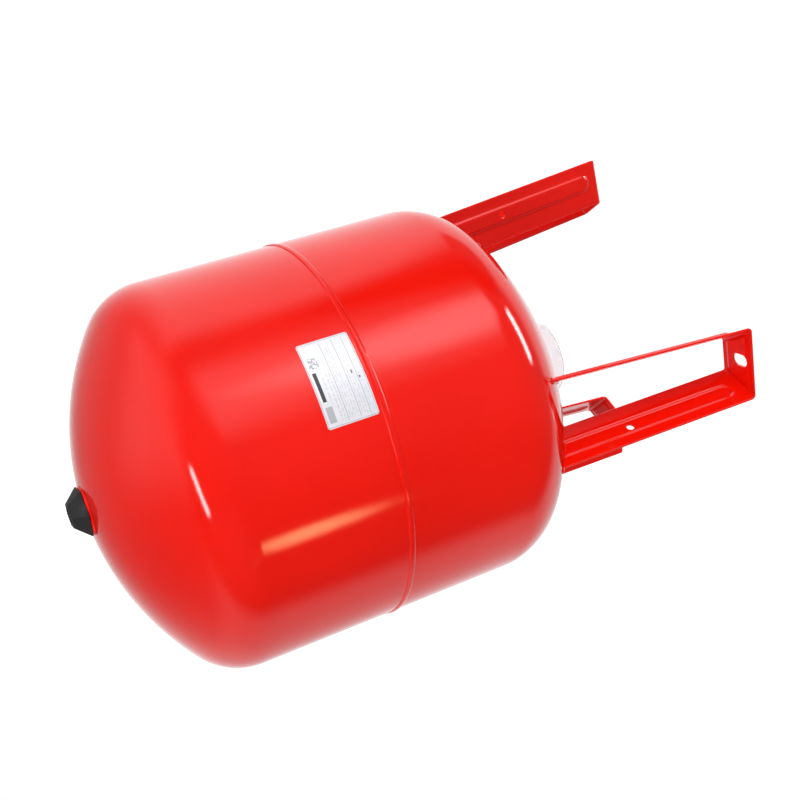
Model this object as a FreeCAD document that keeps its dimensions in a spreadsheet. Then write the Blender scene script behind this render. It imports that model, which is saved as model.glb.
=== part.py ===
import FreeCAD, Part
import math
import os
import Sketcher

# Floor-standing expansion vessel: two drawn steel shells on three strap legs,
# a rubber diaphragm between them, a water connection on top and a gas valve below.
# Z points up, the origin is on the floor under the vessel's axis. All lengths in mm.

doc = FreeCAD.newDocument("ExpansionVessel")
sheet = doc.addObject("Spreadsheet::Sheet", "Sizes")

DRIVING_SIZES = {
    # shells
    "shell_radius": 193.0,
    "shell_wall": 1.5,
    "knuckle_radius": 63.0,
    "crown_radius": 274.0,
    "seam_height": 397.0,
    "upper_straight": 137.5,
    "lower_straight": 129.0,
    "seam_gap": 2.0,
    "seam_bead_width": 7.0,
    "seam_bead_rise": 1.6,
    # diaphragm and its clamp ring
    "diaphragm_wall": 2.0,
    "diaphragm_gap": 0.4,
    "pocket_radius": 26.0,
    "pocket_depth": 11.0,
    "rim_width": 3.5,
    "rim_height": 8.0,
    "rim_drop": 12.5,
    "clamp_wall": 1.5,
    "clamp_depth": 9.0,
    "clamp_drop": 18.0,
    # water connection
    "socket_radius": 23.0,
    "socket_bore": 12.05,
    "socket_rise": 0.4,
    "socket_inside": 9.0,
    "plug_corner_radius": 25.8,
    "plug_tip_radius": 12.6,
    "plug_taper": 13.6,
    "plug_rim": 1.2,
    "plug_shank": 12.0,
    "plug_shank_length": 6.9,
    "plug_turn": -20.8,
    "ring_outer": 19.0,
    "ring_inner": 13.0,
    "ring_thickness": 2.0,
    # gas valve
    "stem_radius": 5.0,
    "stem_tip_radius": 3.85,
    "stem_tip_bore": 2.2,
    "stem_foot_bore": 2.6,
    "stem_length": 17.0,
    "stem_bore_step": 12.0,
    "gasket_top": 1.6,
    "nut_width": 17.0,
    "nut_height": 4.5,
    "washer_radius": 9.0,
    "washer_thickness": 1.0,
    "core_neck_radius": 1.9,
    "core_chamber_radius": 1.4,
    "core_mouth_radius": 1.0,
    "core_throat_radius": 0.6,
    "core_start": 2.5,
    "core_length": 7.0,
    "core_ring_start": 6.0,
    "core_ring_length": 1.6,
    "core_chamber_start": 2.9,
    "core_chamber_end": 6.6,
    "pin_start": 0.8,
    "pin_length": 10.4,
    "pin_radius": 0.45,
    "pin_head_radius": 0.9,
    "pin_head_length": 0.7,
    "pin_shoulder_radius": 1.2,
    "pin_shoulder_start": 3.0,
    "pin_shoulder_length": 0.3,
    "pin_foot_radius": 1.3,
    "pin_foot_length": 0.5,
    "pin_seal_radius": 1.55,
    "pin_seal_length": 1.05,
    "pin_seal_gap": 0.1,
    "cap_radius": 5.6,
    "cap_start": 7.0,
    "cap_length": 12.6,
    # gas valve cover
    "cover_rim_radius": 43.0,
    "cover_end_radius": 40.0,
    "cover_height": 31.0,
    "cover_wall": 1.2,
    "hub_radius": 9.88,
    # legs
    "strap_thickness": 2.5,
    "strap_run": 44.0,
    "strap_overshoot": 12.0,
    "foot_inner": 142.0,
    "foot_half_inner": 19.0,
    "foot_half_outer": 38.5,
    "leg_rise": 240.0,
    "leg_lean": 20.8,
    "leg_spread": 9.0,
    "bend_radius": 5.0,
    "slot_length": 21.0,
    "slot_width": 13.0,
    "slot_place": 168.5,
    "hole_radius": 4.0,
    "hole_height": 133.0,
    "rib_half_width": 10.0,
    "rib_share": 0.56,
    "hole_share": 0.57,
    "rib_depth": 2.0,
    "rib_start": 13.0,
    "rib_end": 250.0,
    "weld_size": 3.0,
    # rating label
    "label_arc": 80.0,
    "label_height": 49.0,
    "label_start": 6.0,
    "label_thickness": 0.15,
    "label_turn": -55.2,
}


class Size:
    """A length that carries its number and its formula on the sheet."""

    def __init__(self, value, text):
        self.value = value
        self.text = text

    @staticmethod
    def of(other):
        if isinstance(other, Size):
            return other
        return Size(float(other), repr(float(other)))

    def combine(self, other, sign, value):
        return Size(value, "(%s %s %s)" % (self.text, sign, Size.of(other).text))

    def __add__(self, other):
        return self.combine(other, "+", self.value + Size.of(other).value)

    def __sub__(self, other):
        return self.combine(other, "-", self.value - Size.of(other).value)

    def __mul__(self, other):
        return self.combine(other, "*", self.value * Size.of(other).value)

    def __truediv__(self, other):
        return self.combine(other, "/", self.value / Size.of(other).value)

    def root(self):
        return Size(math.sqrt(self.value), "sqrt(%s)" % self.text)


def fill_sheet():
    """Write the driving sizes to the sheet and return them as Size values."""
    sizes = {}
    for row, (alias, value) in enumerate(DRIVING_SIZES.items(), start=1):
        sheet.set("A%d" % row, alias)
        sheet.set("B%d" % row, str(value))
        sheet.setAlias("B%d" % row, alias)
        sizes[alias] = Size(value, "Sizes.%s" % alias)
    doc.recompute()
    return sizes


S = fill_sheet()
ZERO = Size(0.0, "0")
UP_Z = FreeCAD.Vector(0, 0, 1)

# Heights that several pieces share.
SEAM = S["seam_height"]
UPPER_TANGENT = SEAM + S["upper_straight"]
LOWER_TANGENT = SEAM - S["lower_straight"]
CROWN_SPAN = S["crown_radius"] - S["knuckle_radius"]
KNUCKLE_CENTRE = S["shell_radius"] - S["knuckle_radius"]
CROWN_SINK = (CROWN_SPAN * CROWN_SPAN - KNUCKLE_CENTRE * KNUCKLE_CENTRE).root()
DOME_DEPTH = S["crown_radius"] - CROWN_SINK
TOP_APEX = UPPER_TANGENT + DOME_DEPTH
BOTTOM_APEX = LOWER_TANGENT - DOME_DEPTH


# ---------------------------------------------------------------- sketches

def origin_plane(body, role):
    for feature in body.Origin.OriginFeatures:
        if feature.Role == role:
            return feature
    raise ValueError("no plane " + role)


def new_body(name):
    body = doc.addObject("PartDesign::Body", name)
    body.Label = name
    return body


def new_sketch(body, name, role, lift=None):
    """A sketch on one of the body's own origin planes, lifted along Z if asked."""
    sketch = body.newObject("Sketcher::SketchObject", name)
    sketch.AttachmentSupport = [(origin_plane(body, role), "")]
    sketch.MapMode = "FlatFace"
    if lift is not None:
        sketch.setExpression("AttachmentOffset.Base.z", lift.text)
    return sketch


def pin_point(sketch, edge, end, x, y):
    """Tie one end of a sketch edge to its two coordinates on the sheet."""
    for kind, size, axis in (("DistanceX", x, -2), ("DistanceY", y, -1)):
        if size.value == 0.0:
            sketch.addConstraint(Sketcher.Constraint("PointOnObject", edge, end, axis))
            continue
        rule = Sketcher.Constraint(kind, -1, 1, edge, end, size.value)
        number = sketch.addConstraint(rule)
        sketch.setExpression("Constraints[%d]" % number, size.text)


def draw_outline(sketch, outline):
    """Draw a closed outline of points (x, y) and arcs (x, y, radius, centre x, centre y).

    An arc entry describes the arc that leads to its point."""
    points = [FreeCAD.Vector(entry[0].value, entry[1].value, 0) for entry in outline]
    edges = []
    for number, entry in enumerate(outline):
        start = points[number - 1]
        end = points[number]
        if len(entry) == 2:
            edges.append((sketch.addGeometry(Part.LineSegment(start, end)), 1, 2, None))
            continue
        edges.append(draw_arc(sketch, start, end, entry))
    for number, entry in enumerate(outline):
        edge, first, last, radius = edges[number]
        following = edges[(number + 1) % len(edges)]
        pin_point(sketch, edge, last, entry[0], entry[1])
        sketch.addConstraint(
            Sketcher.Constraint("Coincident", edge, last, following[0], following[1]))
        if radius is not None:
            rule = sketch.addConstraint(Sketcher.Constraint("Radius", edge, radius.value))
            sketch.setExpression("Constraints[%d]" % rule, radius.text)


def draw_arc(sketch, start, end, entry):
    """Draw the shorter arc between two points, always anticlockwise in the sketch."""
    radius = entry[2]
    centre = FreeCAD.Vector(entry[3].value, entry[4].value, 0)
    circle = Part.Circle(centre, UP_Z, radius.value)
    first = math.atan2(start.y - centre.y, start.x - centre.x)
    last = math.atan2(end.y - centre.y, end.x - centre.x)
    turn = (last - first) % (2 * math.pi)
    if turn < math.pi:
        return sketch.addGeometry(Part.ArcOfCircle(circle, first, first + turn)), 1, 2, radius
    back = 2 * math.pi - turn
    return sketch.addGeometry(Part.ArcOfCircle(circle, last, last + back)), 2, 1, radius


def turned_body(name, outline):
    """A body of revolution about Z from an outline of radius and height."""
    body = new_body(name)
    sketch = new_sketch(body, name + "_profile", "XZ_Plane")
    draw_outline(sketch, outline)
    turn = body.newObject("PartDesign::Revolution", name + "_turn")
    turn.Profile = sketch
    turn.ReferenceAxis = (sketch, ["V_Axis"])
    turn.Angle = 360
    body.Tip = turn
    sketch.Visibility = False
    return body


# ------------------------------------------------------ Part-style helpers

def add_cylinder(name, radius, height, base):
    """A cylinder on the Z axis that starts at a given height."""
    solid = doc.addObject("Part::Cylinder", name)
    solid.setExpression("Radius", radius.text)
    solid.setExpression("Height", height.text)
    solid.setExpression("Placement.Base.z", base.text)
    return solid


def cut(name, base, tool):
    result = doc.addObject("Part::Cut", name)
    result.Base = base
    result.Tool = tool
    return result


def fuse(name, pieces):
    result = doc.addObject("Part::MultiFuse", name)
    result.Shapes = pieces
    return result


def common(name, first, second):
    result = doc.addObject("Part::MultiCommon", name)
    result.Shapes = [first, second]
    return result


def placed_copy(name, source, angle):
    """The same solid turned about the vessel's axis."""
    copy = doc.addObject("Part::Compound", name)
    copy.Links = [source]
    copy.Placement = FreeCAD.Placement(FreeCAD.Vector(), FreeCAD.Rotation(UP_Z, angle))
    return copy


# ------------------------------------------------------------------ shells

def dome_points(offset, upward):
    """Tangent, knuckle end and apex of a dished end, offset inwards by a given amount."""
    tangent = UPPER_TANGENT if upward else LOWER_TANGENT
    radius = S["shell_radius"] - offset
    crown = S["crown_radius"] - offset
    knuckle = S["knuckle_radius"] - offset
    join_radius = crown * KNUCKLE_CENTRE / CROWN_SPAN
    join_rise = crown * CROWN_SINK / CROWN_SPAN - CROWN_SINK
    apex_rise = crown - CROWN_SINK
    if upward:
        join = tangent + join_rise
        apex = tangent + apex_rise
        crown_centre = tangent - CROWN_SINK
    else:
        join = tangent - join_rise
        apex = tangent - apex_rise
        crown_centre = tangent + CROWN_SINK
    return {
        "edge": (radius, tangent),
        "join": (join_radius, join, knuckle, KNUCKLE_CENTRE, tangent),
        "apex": (apex, crown, crown_centre),
    }


def crown_height(dome, radius, upward):
    """Height of a dome's crown arc at a given distance from the axis."""
    apex, crown, centre = dome["apex"]
    rise = (crown * crown - radius * radius).root()
    return centre + rise if upward else centre - rise


def dished_wall(name, start, outer_offset, inner_offset, upward, hole):
    """A wall that follows the straight side, knuckle and crown, with a hole at the apex."""
    outer = dome_points(outer_offset, upward)
    inner = dome_points(inner_offset, upward)
    outline = [
        (inner["edge"][0], start),
        (outer["edge"][0], start),
        outer["edge"],
        outer["join"],
        crown_point(outer, hole, upward),
        crown_end(inner, hole, upward),
        inner_join(inner),
        inner_edge(inner),
    ]
    return turned_body(name, outline)


def crown_point(dome, hole, upward):
    apex, crown, centre = dome["apex"]
    return (hole, crown_height(dome, hole, upward), crown, ZERO, centre)


def crown_end(dome, hole, upward):
    return (hole, crown_height(dome, hole, upward))


def inner_join(dome):
    """The crown arc on the way back down ends where the knuckle begins."""
    apex, crown, centre = dome["apex"]
    return (dome["join"][0], dome["join"][1], crown, ZERO, centre)


def inner_edge(dome):
    join = dome["join"]
    return (dome["edge"][0], dome["edge"][1], join[2], join[3], join[4])


def make_shells():
    half_gap = S["seam_gap"] / 2
    upper = dished_wall("upper_shell", SEAM + half_gap, ZERO, S["shell_wall"], True,
                        S["socket_radius"])
    lower = dished_wall("lower_shell", SEAM - half_gap, ZERO, S["shell_wall"], False,
                        S["stem_radius"] + 0.3)
    return [upper, lower]


def make_seam_weld():
    """The round weld that fills the gap between the shells and stands proud of them."""
    outer = S["shell_radius"]
    inner = outer - S["shell_wall"]
    half_gap = S["seam_gap"] / 2
    half_bead = S["seam_bead_width"] / 2
    rise = S["seam_bead_rise"]
    arc_radius = (half_bead * half_bead + rise * rise) / (rise * 2)
    arc_centre = outer + rise - arc_radius
    outline = [
        (inner, SEAM - half_gap),
        (outer, SEAM - half_gap),
        (outer, SEAM - half_bead),
        (outer, SEAM + half_bead, arc_radius, arc_centre, SEAM),
        (outer, SEAM + half_gap),
        (inner, SEAM + half_gap),
    ]
    return turned_body("seam_weld", outline)


# ---------------------------------------------------- diaphragm and its ring

def make_diaphragm():
    """The rubber bowl that lies against the water side, with a thick held rim.

    A pocket in its middle leaves room for the socket's inner end."""
    gap = S["diaphragm_gap"]
    outer_offset = S["shell_wall"] + gap
    inner_offset = outer_offset + S["diaphragm_wall"]
    rim_inner = S["shell_radius"] - inner_offset - S["rim_width"]
    rim_foot = SEAM - S["rim_drop"]
    rim_top = rim_foot + S["rim_height"]
    outer = dome_points(outer_offset, True)
    inner = dome_points(inner_offset, True)
    pocket = S["pocket_radius"]
    pocket_floor = TOP_APEX - S["pocket_depth"]
    outline = [
        (rim_inner, rim_foot),
        (outer["edge"][0], rim_foot),
        outer["edge"],
        outer["join"],
        crown_point(outer, pocket + 4.0, True),
        (pocket, pocket_floor),
        (ZERO, pocket_floor),
        (ZERO, pocket_floor - S["diaphragm_wall"]),
        (pocket + 1.5, pocket_floor - S["diaphragm_wall"]),
        crown_end(inner, pocket + 6.0, True),
        inner_join(inner),
        inner_edge(inner),
        (inner["edge"][0], rim_top),
        (rim_inner, rim_top),
    ]
    return turned_body("diaphragm", outline)


def make_clamp_ring():
    """A steel angle ring that holds the diaphragm's rim against the wall."""
    outer = S["shell_radius"] - S["shell_wall"]
    inner = outer - S["clamp_depth"]
    floor = SEAM - S["clamp_drop"]
    ledge = SEAM - S["rim_drop"] - 0.2
    top = SEAM - S["rim_drop"] + S["clamp_depth"]
    lip = floor - 2.0
    outline = [
        (outer, floor),
        (outer, ledge),
        (inner + S["clamp_wall"], ledge),
        (inner + S["clamp_wall"], top),
        (inner, top),
        (inner, lip),
        (inner + S["clamp_wall"], lip),
        (inner + S["clamp_wall"], floor),
    ]
    return turned_body("clamp_ring", outline)


# --------------------------------------------------------- water connection

def make_socket():
    """The steel socket in the middle of the upper dome, with its round weld."""
    top = TOP_APEX + S["socket_rise"]
    bottom = TOP_APEX - S["socket_inside"]
    socket = turned_body("connection_socket", [
        (S["socket_bore"], bottom),
        (S["socket_radius"] - 0.01, bottom),
        (S["socket_radius"] - 0.01, top - 0.8),
        (S["socket_radius"] - 0.8, top),
        (S["socket_bore"] + 0.8, top),
        (S["socket_bore"], top - 0.8),
    ])
    outer = dome_points(ZERO, True)
    toe = S["socket_radius"] + 2.4
    shoulder = S["socket_radius"] + 1.3
    root_height = crown_height(outer, S["socket_radius"], True)
    weld = turned_body("socket_weld", [
        (S["socket_radius"], root_height),
        (toe, crown_height(outer, toe, True), S["crown_radius"], ZERO, outer["apex"][2]),
        (shoulder, root_height + 0.6),
        (S["socket_radius"], root_height + 1.0),
    ])
    return [socket, weld]


def add_hexagon(name, radius, height):
    polygon = doc.addObject("Part::RegularPolygon", name)
    polygon.Polygon = 6
    polygon.setExpression("Circumradius", radius.text)
    polygon.setExpression("Placement.Base.z", height.text)
    return polygon


def make_plug():
    """The six-sided tapered plug and the flat sealing ring that it carries."""
    base = TOP_APEX + S["socket_rise"] + 0.1
    rim_top = base + S["plug_rim"]
    low = add_hexagon("plug_base", S["plug_corner_radius"], base)
    rim = add_hexagon("plug_rim_edge", S["plug_corner_radius"], rim_top)
    high = add_hexagon("plug_tip", S["plug_tip_radius"], rim_top + S["plug_taper"])
    head = doc.addObject("Part::Loft", "plug_head")
    head.Sections = [rim, high]
    band = doc.addObject("Part::Loft", "plug_band")
    band.Sections = [low, rim]
    for loft in (head, band):
        loft.Solid = True
        loft.Ruled = True
    shank = add_cylinder("plug_shank_bar", S["plug_shank"], S["plug_shank_length"] + 2.0,
                         base - S["plug_shank_length"])
    hollow = add_cylinder("plug_hollow", S["plug_shank"] - 2.0, S["plug_shank_length"] + 6.0,
                          base - S["plug_shank_length"] - 1.0)
    seat = cut("plug_seat",
               add_cylinder("seat_outer", S["ring_outer"] + 0.2, S["ring_thickness"] + 0.1, base),
               add_cylinder("seat_inner", S["ring_inner"] - 0.2, S["ring_thickness"] + 0.1, base))
    solid = cut("plug_solid", fuse("plug_block", [head, band, shank]), hollow)
    plug = cut("plug_finished", solid, seat)
    turned = doc.addObject("Part::Compound", "connection_plug")
    turned.Links = [plug]
    turned.setExpression("Placement.Rotation.Angle", S["plug_turn"].text)
    ring = cut("plug_seal",
               add_cylinder("ring_disc", S["ring_outer"], S["ring_thickness"] - 0.1, base + 0.02),
               add_cylinder("ring_hole", S["ring_inner"], S["ring_thickness"] + 1.0, base - 0.5))
    return [turned, ring]


# --------------------------------------------------------------- gas valve

def make_valve_stem():
    """The brass stem: a foot inside the dome, a wide threaded part and a narrow tip."""
    apex = BOTTOM_APEX
    foot = apex + S["shell_wall"] + S["gasket_top"]
    foot_radius = S["stem_radius"] + 4.0
    foot_top = foot + 2.5
    neck = apex - S["cap_start"]
    tip = apex - S["stem_length"]
    bore_step = tip + S["stem_bore_step"]
    chamfer = 0.5
    mouth = 0.4
    return turned_body("gas_valve_stem", [
        (S["stem_foot_bore"], bore_step),
        (S["stem_foot_bore"], foot_top),
        (foot_radius, foot_top),
        (foot_radius, foot),
        (S["stem_radius"], foot),
        (S["stem_radius"], neck + 0.7),
        (S["stem_tip_radius"], neck),
        (S["stem_tip_radius"], tip + chamfer),
        (S["stem_tip_radius"] - chamfer, tip),
        (S["stem_tip_bore"] + mouth, tip),
        (S["stem_tip_bore"], tip + mouth),
        (S["stem_tip_bore"], bore_step),
    ])


def make_valve_fixings():
    """The rubber ring inside the dome, the washer under it and the hexagon nut."""
    apex = BOTTOM_APEX
    gasket_foot = apex + S["shell_wall"] + 0.15
    gasket_top = apex + S["shell_wall"] + S["gasket_top"]
    gasket_radius = S["washer_radius"] - 0.2
    gasket = turned_body("gas_valve_gasket", [
        (S["stem_radius"], gasket_foot),
        (gasket_radius, gasket_foot),
        (gasket_radius, gasket_top),
        (S["stem_radius"], gasket_top),
    ])
    washer_foot = apex - S["washer_thickness"]
    washer_bore = S["stem_radius"] + 0.1
    washer = turned_body("gas_valve_washer", [
        (washer_bore, washer_foot),
        (S["washer_radius"], washer_foot),
        (S["washer_radius"], apex),
        (washer_bore, apex),
    ])
    prism = doc.addObject("Part::Prism", "nut_prism")
    prism.Polygon = 6
    prism.setExpression("Circumradius", (S["nut_width"] / math.sqrt(3)).text)
    prism.setExpression("Height", S["nut_height"].text)
    prism.setExpression("Placement.Base.z", (washer_foot - S["nut_height"]).text)
    bore = add_cylinder("nut_bore", S["stem_radius"], S["nut_height"] + 2.0,
                        washer_foot - S["nut_height"] - 1.0)
    nut = cut("gas_valve_nut", prism, bore)
    return [gasket, washer, nut]


def make_valve_core():
    """The insert in the stem: barrel, sealing ring, spring pin, pin seal and spring."""
    tip = BOTTOM_APEX - S["stem_length"]
    foot = tip + S["core_start"]
    neck = foot + 3.0
    head = foot + S["core_length"]
    chamber_foot = tip + S["core_chamber_start"]
    chamber_head = tip + S["core_chamber_end"]
    barrel = turned_body("valve_core_barrel", [
        (S["core_mouth_radius"], foot),
        (S["stem_tip_bore"], foot),
        (S["stem_tip_bore"], neck),
        (S["core_neck_radius"], neck),
        (S["core_neck_radius"], head),
        (S["core_throat_radius"], head),
        (S["core_throat_radius"], chamber_head),
        (S["core_chamber_radius"], chamber_head),
        (S["core_chamber_radius"], chamber_foot),
        (S["core_mouth_radius"], chamber_foot),
    ])
    ring_foot = tip + S["core_ring_start"]
    ring_head = ring_foot + S["core_ring_length"]
    ring = turned_body("valve_core_ring", [
        (S["core_neck_radius"], ring_foot),
        (S["stem_tip_bore"], ring_foot),
        (S["stem_tip_bore"], ring_head),
        (S["core_neck_radius"], ring_head),
    ])
    return [barrel, ring] + make_core_pin(tip) + [make_core_spring(tip)]


def make_core_pin(tip):
    """The pin with its spring shoulder and foot, and the rubber seal under the foot."""
    start = tip + S["pin_start"]
    head = start + S["pin_head_length"]
    shoulder = tip + S["pin_shoulder_start"]
    shoulder_top = shoulder + S["pin_shoulder_length"]
    end = start + S["pin_length"]
    foot = end - S["pin_foot_length"]
    pin = turned_body("valve_core_pin", [
        (ZERO, start),
        (S["pin_head_radius"], start),
        (S["pin_head_radius"], head),
        (S["pin_radius"], head),
        (S["pin_radius"], shoulder),
        (S["pin_shoulder_radius"], shoulder),
        (S["pin_shoulder_radius"], shoulder_top),
        (S["pin_radius"], shoulder_top),
        (S["pin_radius"], foot),
        (S["pin_foot_radius"], foot),
        (S["pin_foot_radius"], end),
        (ZERO, end),
    ])
    seal_head = foot - S["pin_seal_gap"]
    seal_foot = seal_head - S["pin_seal_length"]
    seal = turned_body("valve_core_seal", [
        (S["pin_radius"], seal_foot),
        (S["pin_seal_radius"], seal_foot),
        (S["pin_seal_radius"], seal_head),
        (S["pin_radius"], seal_head),
    ])
    return [pin, seal]


def make_core_spring(tip):
    """The coil spring round the pin, in the barrel's chamber."""
    wire = 0.14
    radius = 0.9
    pitch = 0.62
    length = 2.7
    foot_height = 3.6
    helix = Part.makeHelix(pitch, length, radius)
    start = FreeCAD.Vector(radius, 0, 0)
    profile = Part.Wire([Part.makeCircle(wire, start, FreeCAD.Vector(0, 1, 0))])
    coil = Part.Wire(helix.Edges).makePipeShell([profile], True, True)
    spring = doc.addObject("Part::Feature", "valve_core_spring")
    spring.Shape = coil
    spring.Placement = FreeCAD.Placement(FreeCAD.Vector(0, 0, tip.value + foot_height), FreeCAD.Rotation())
    return spring


def make_valve_cap():
    """The screw cap on the stem's tip and the rubber disc inside it."""
    top = BOTTOM_APEX - S["cap_start"]
    foot = top - S["cap_length"]
    thread_gap = 0.06
    chamfer = 1.2
    floor = foot + 1.3
    bore = S["stem_tip_radius"] + thread_gap
    cap = turned_body("valve_cap", [
        (ZERO, foot),
        (S["cap_radius"] - chamfer, foot),
        (S["cap_radius"], foot + chamfer),
        (S["cap_radius"], top),
        (bore, top),
        (bore, floor),
        (ZERO, floor),
    ])
    disc_foot = floor + 0.05
    disc_top = disc_foot + 1.15
    disc_radius = bore - 0.1
    disc = turned_body("valve_cap_seal", [
        (ZERO, disc_foot),
        (disc_radius, disc_foot),
        (disc_radius, disc_top),
        (ZERO, disc_top),
    ])
    return [cap, disc]


def make_valve_cover():
    """The clear moulded cup that hides the gas valve; its hub grips the nut."""
    apex = BOTTOM_APEX
    foot = apex - S["cover_height"]
    wall = S["cover_wall"]
    rim = crown_height(dome_points(ZERO, False), S["cover_rim_radius"], False) - 0.3
    hub_top = apex - 1.4
    return turned_body("gas_valve_cover", [
        (ZERO, foot),
        (S["cover_end_radius"] - 4.0, foot),
        (S["cover_end_radius"], foot + 4.0, ZERO + 4.0, S["cover_end_radius"] - 4.0, foot + 4.0),
        (S["cover_rim_radius"], rim),
        (S["cover_rim_radius"] - wall, rim),
        (S["cover_end_radius"] - wall, foot + 4.0),
        (S["cover_end_radius"] - 4.0, foot + wall, ZERO + 4.0 - wall,
         S["cover_end_radius"] - 4.0, foot + 4.0),
        (S["hub_radius"] + wall, foot + wall),
        (S["hub_radius"] + wall, hub_top),
        (S["hub_radius"], hub_top),
        (S["hub_radius"], foot + wall),
        (ZERO, foot + wall),
    ])


# -------------------------------------------------------------------- legs

def hoop_section(body, name, level, grow, inside):
    """One trapezoid across the hoop; it leans in and spreads with height."""
    share = level / S["leg_rise"]
    lean = S["leg_lean"] * share
    spread = S["leg_spread"] * share
    slope = (S["foot_half_outer"] - S["foot_half_inner"]) / S["strap_run"]
    secant = (slope * slope + 1.0).root()
    reach = S["strap_overshoot"] if inside else Size.of(grow)
    near = S["foot_inner"] - lean - reach
    far = S["foot_inner"] - lean + S["strap_run"] + reach
    shift = (S["strap_thickness"] + grow if inside else Size.of(-grow)) * secant
    near_half = S["foot_half_inner"] + spread - slope * reach - shift
    far_half = S["foot_half_outer"] + spread + slope * reach - shift
    sketch = new_sketch(body, name, "XY_Plane", level)
    minus = Size.of(-1.0)
    draw_outline(sketch, [
        (near, near_half),
        (near, minus * near_half),
        (far, minus * far_half),
        (far, far_half),
    ])
    return sketch


def hoop_body(name, grow):
    """A U-shaped strap hoop: two limbs and the foot plate between them."""
    body = new_body(name)
    block = body.newObject("PartDesign::AdditiveLoft", name + "_block")
    low = hoop_section(body, name + "_foot", ZERO, grow, False)
    high = hoop_section(body, name + "_root", S["leg_rise"], grow, False)
    block.Profile = low
    block.Sections = [high]
    block.Ruled = True
    doc.recompute()
    window = body.newObject("PartDesign::SubtractiveLoft", name + "_window")
    window_low = hoop_section(body, name + "_window_foot", S["strap_thickness"], grow, True)
    window_high = hoop_section(body, name + "_window_root", S["leg_rise"] + 1.0, grow, True)
    window.Profile = window_low
    window.Sections = [window_high]
    window.Ruled = True
    body.Tip = window
    doc.recompute()
    return body, window


def round_bends(body, window):
    """Bend radii where the limbs meet the foot plate."""
    thickness = S["strap_thickness"].value
    outside = []
    inside = []
    for number, edge in enumerate(window.Shape.Edges, start=1):
        box = edge.BoundBox
        flat = box.ZMax - box.ZMin < 0.01
        along = abs(box.YMax - box.YMin) > 5 and box.YMin * box.YMax > 0
        if flat and along and box.ZMax < 0.01:
            outside.append("Edge%d" % number)
        elif flat and along and abs(box.ZMax - thickness) < 0.01:
            inside.append("Edge%d" % number)
    outer = body.newObject("PartDesign::Fillet", body.Name + "_outer_bend")
    outer.Base = (window, outside)
    outer.setExpression("Radius", S["bend_radius"].text)
    doc.recompute()
    inner = body.newObject("PartDesign::Fillet", body.Name + "_inner_bend")
    names = matching_edges(outer.Shape, window.Shape, inside)
    inner.Base = (outer, names)
    inner.setExpression("Radius", (S["bend_radius"] - S["strap_thickness"]).text)
    body.Tip = inner
    doc.recompute()


def matching_edges(shape, source, names):
    """Find in one shape the edges that have the same middle as named edges of another."""
    wanted = [source.Edges[int(name[4:]) - 1].CenterOfMass for name in names]
    found = []
    for number, edge in enumerate(shape.Edges, start=1):
        if any((edge.CenterOfMass - point).Length < 0.01 for point in wanted):
            found.append("Edge%d" % number)
    return found


def stadium(name, length, width, height):
    """A block with round ends along X, centred on the origin, rising from it."""
    middle = doc.addObject("Part::Box", name + "_middle")
    middle.setExpression("Length", (length - width).text)
    middle.setExpression("Width", width.text)
    middle.setExpression("Height", height.text)
    middle.setExpression("Placement.Base.x", ((width - length) / 2).text)
    middle.setExpression("Placement.Base.y", (Size.of(-0.5) * width).text)
    ends = []
    for side in (-1.0, 1.0):
        end = doc.addObject("Part::Cylinder", name + ("_near" if side < 0 else "_far"))
        end.setExpression("Radius", (width / 2).text)
        end.setExpression("Height", height.text)
        end.setExpression("Placement.Base.x", ((length - width) * (side / 2)).text)
        ends.append(end)
    return fuse(name, [middle] + ends)


def limb_frame(side, share, height, outward):
    """A placement on a limb's outer face: X runs up the limb, Z points out of the hoop."""
    rise = DRIVING_SIZES["leg_rise"]
    slope = DRIVING_SIZES["foot_half_outer"] - DRIVING_SIZES["foot_half_inner"]
    run = DRIVING_SIZES["strap_run"]
    along = FreeCAD.Vector(-DRIVING_SIZES["leg_lean"], side * DRIVING_SIZES["leg_spread"], rise)
    across = FreeCAD.Vector(run, side * slope, 0)
    normal = along.cross(across) * side
    base = FreeCAD.Vector(DRIVING_SIZES["foot_inner"], side * DRIVING_SIZES["foot_half_inner"], 0)
    point = base + across * share + along * (height / rise)
    point = point + normal.normalize() * outward
    return FreeCAD.Placement(point, FreeCAD.Rotation(along, FreeCAD.Vector(), normal, "ZXY"))


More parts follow.
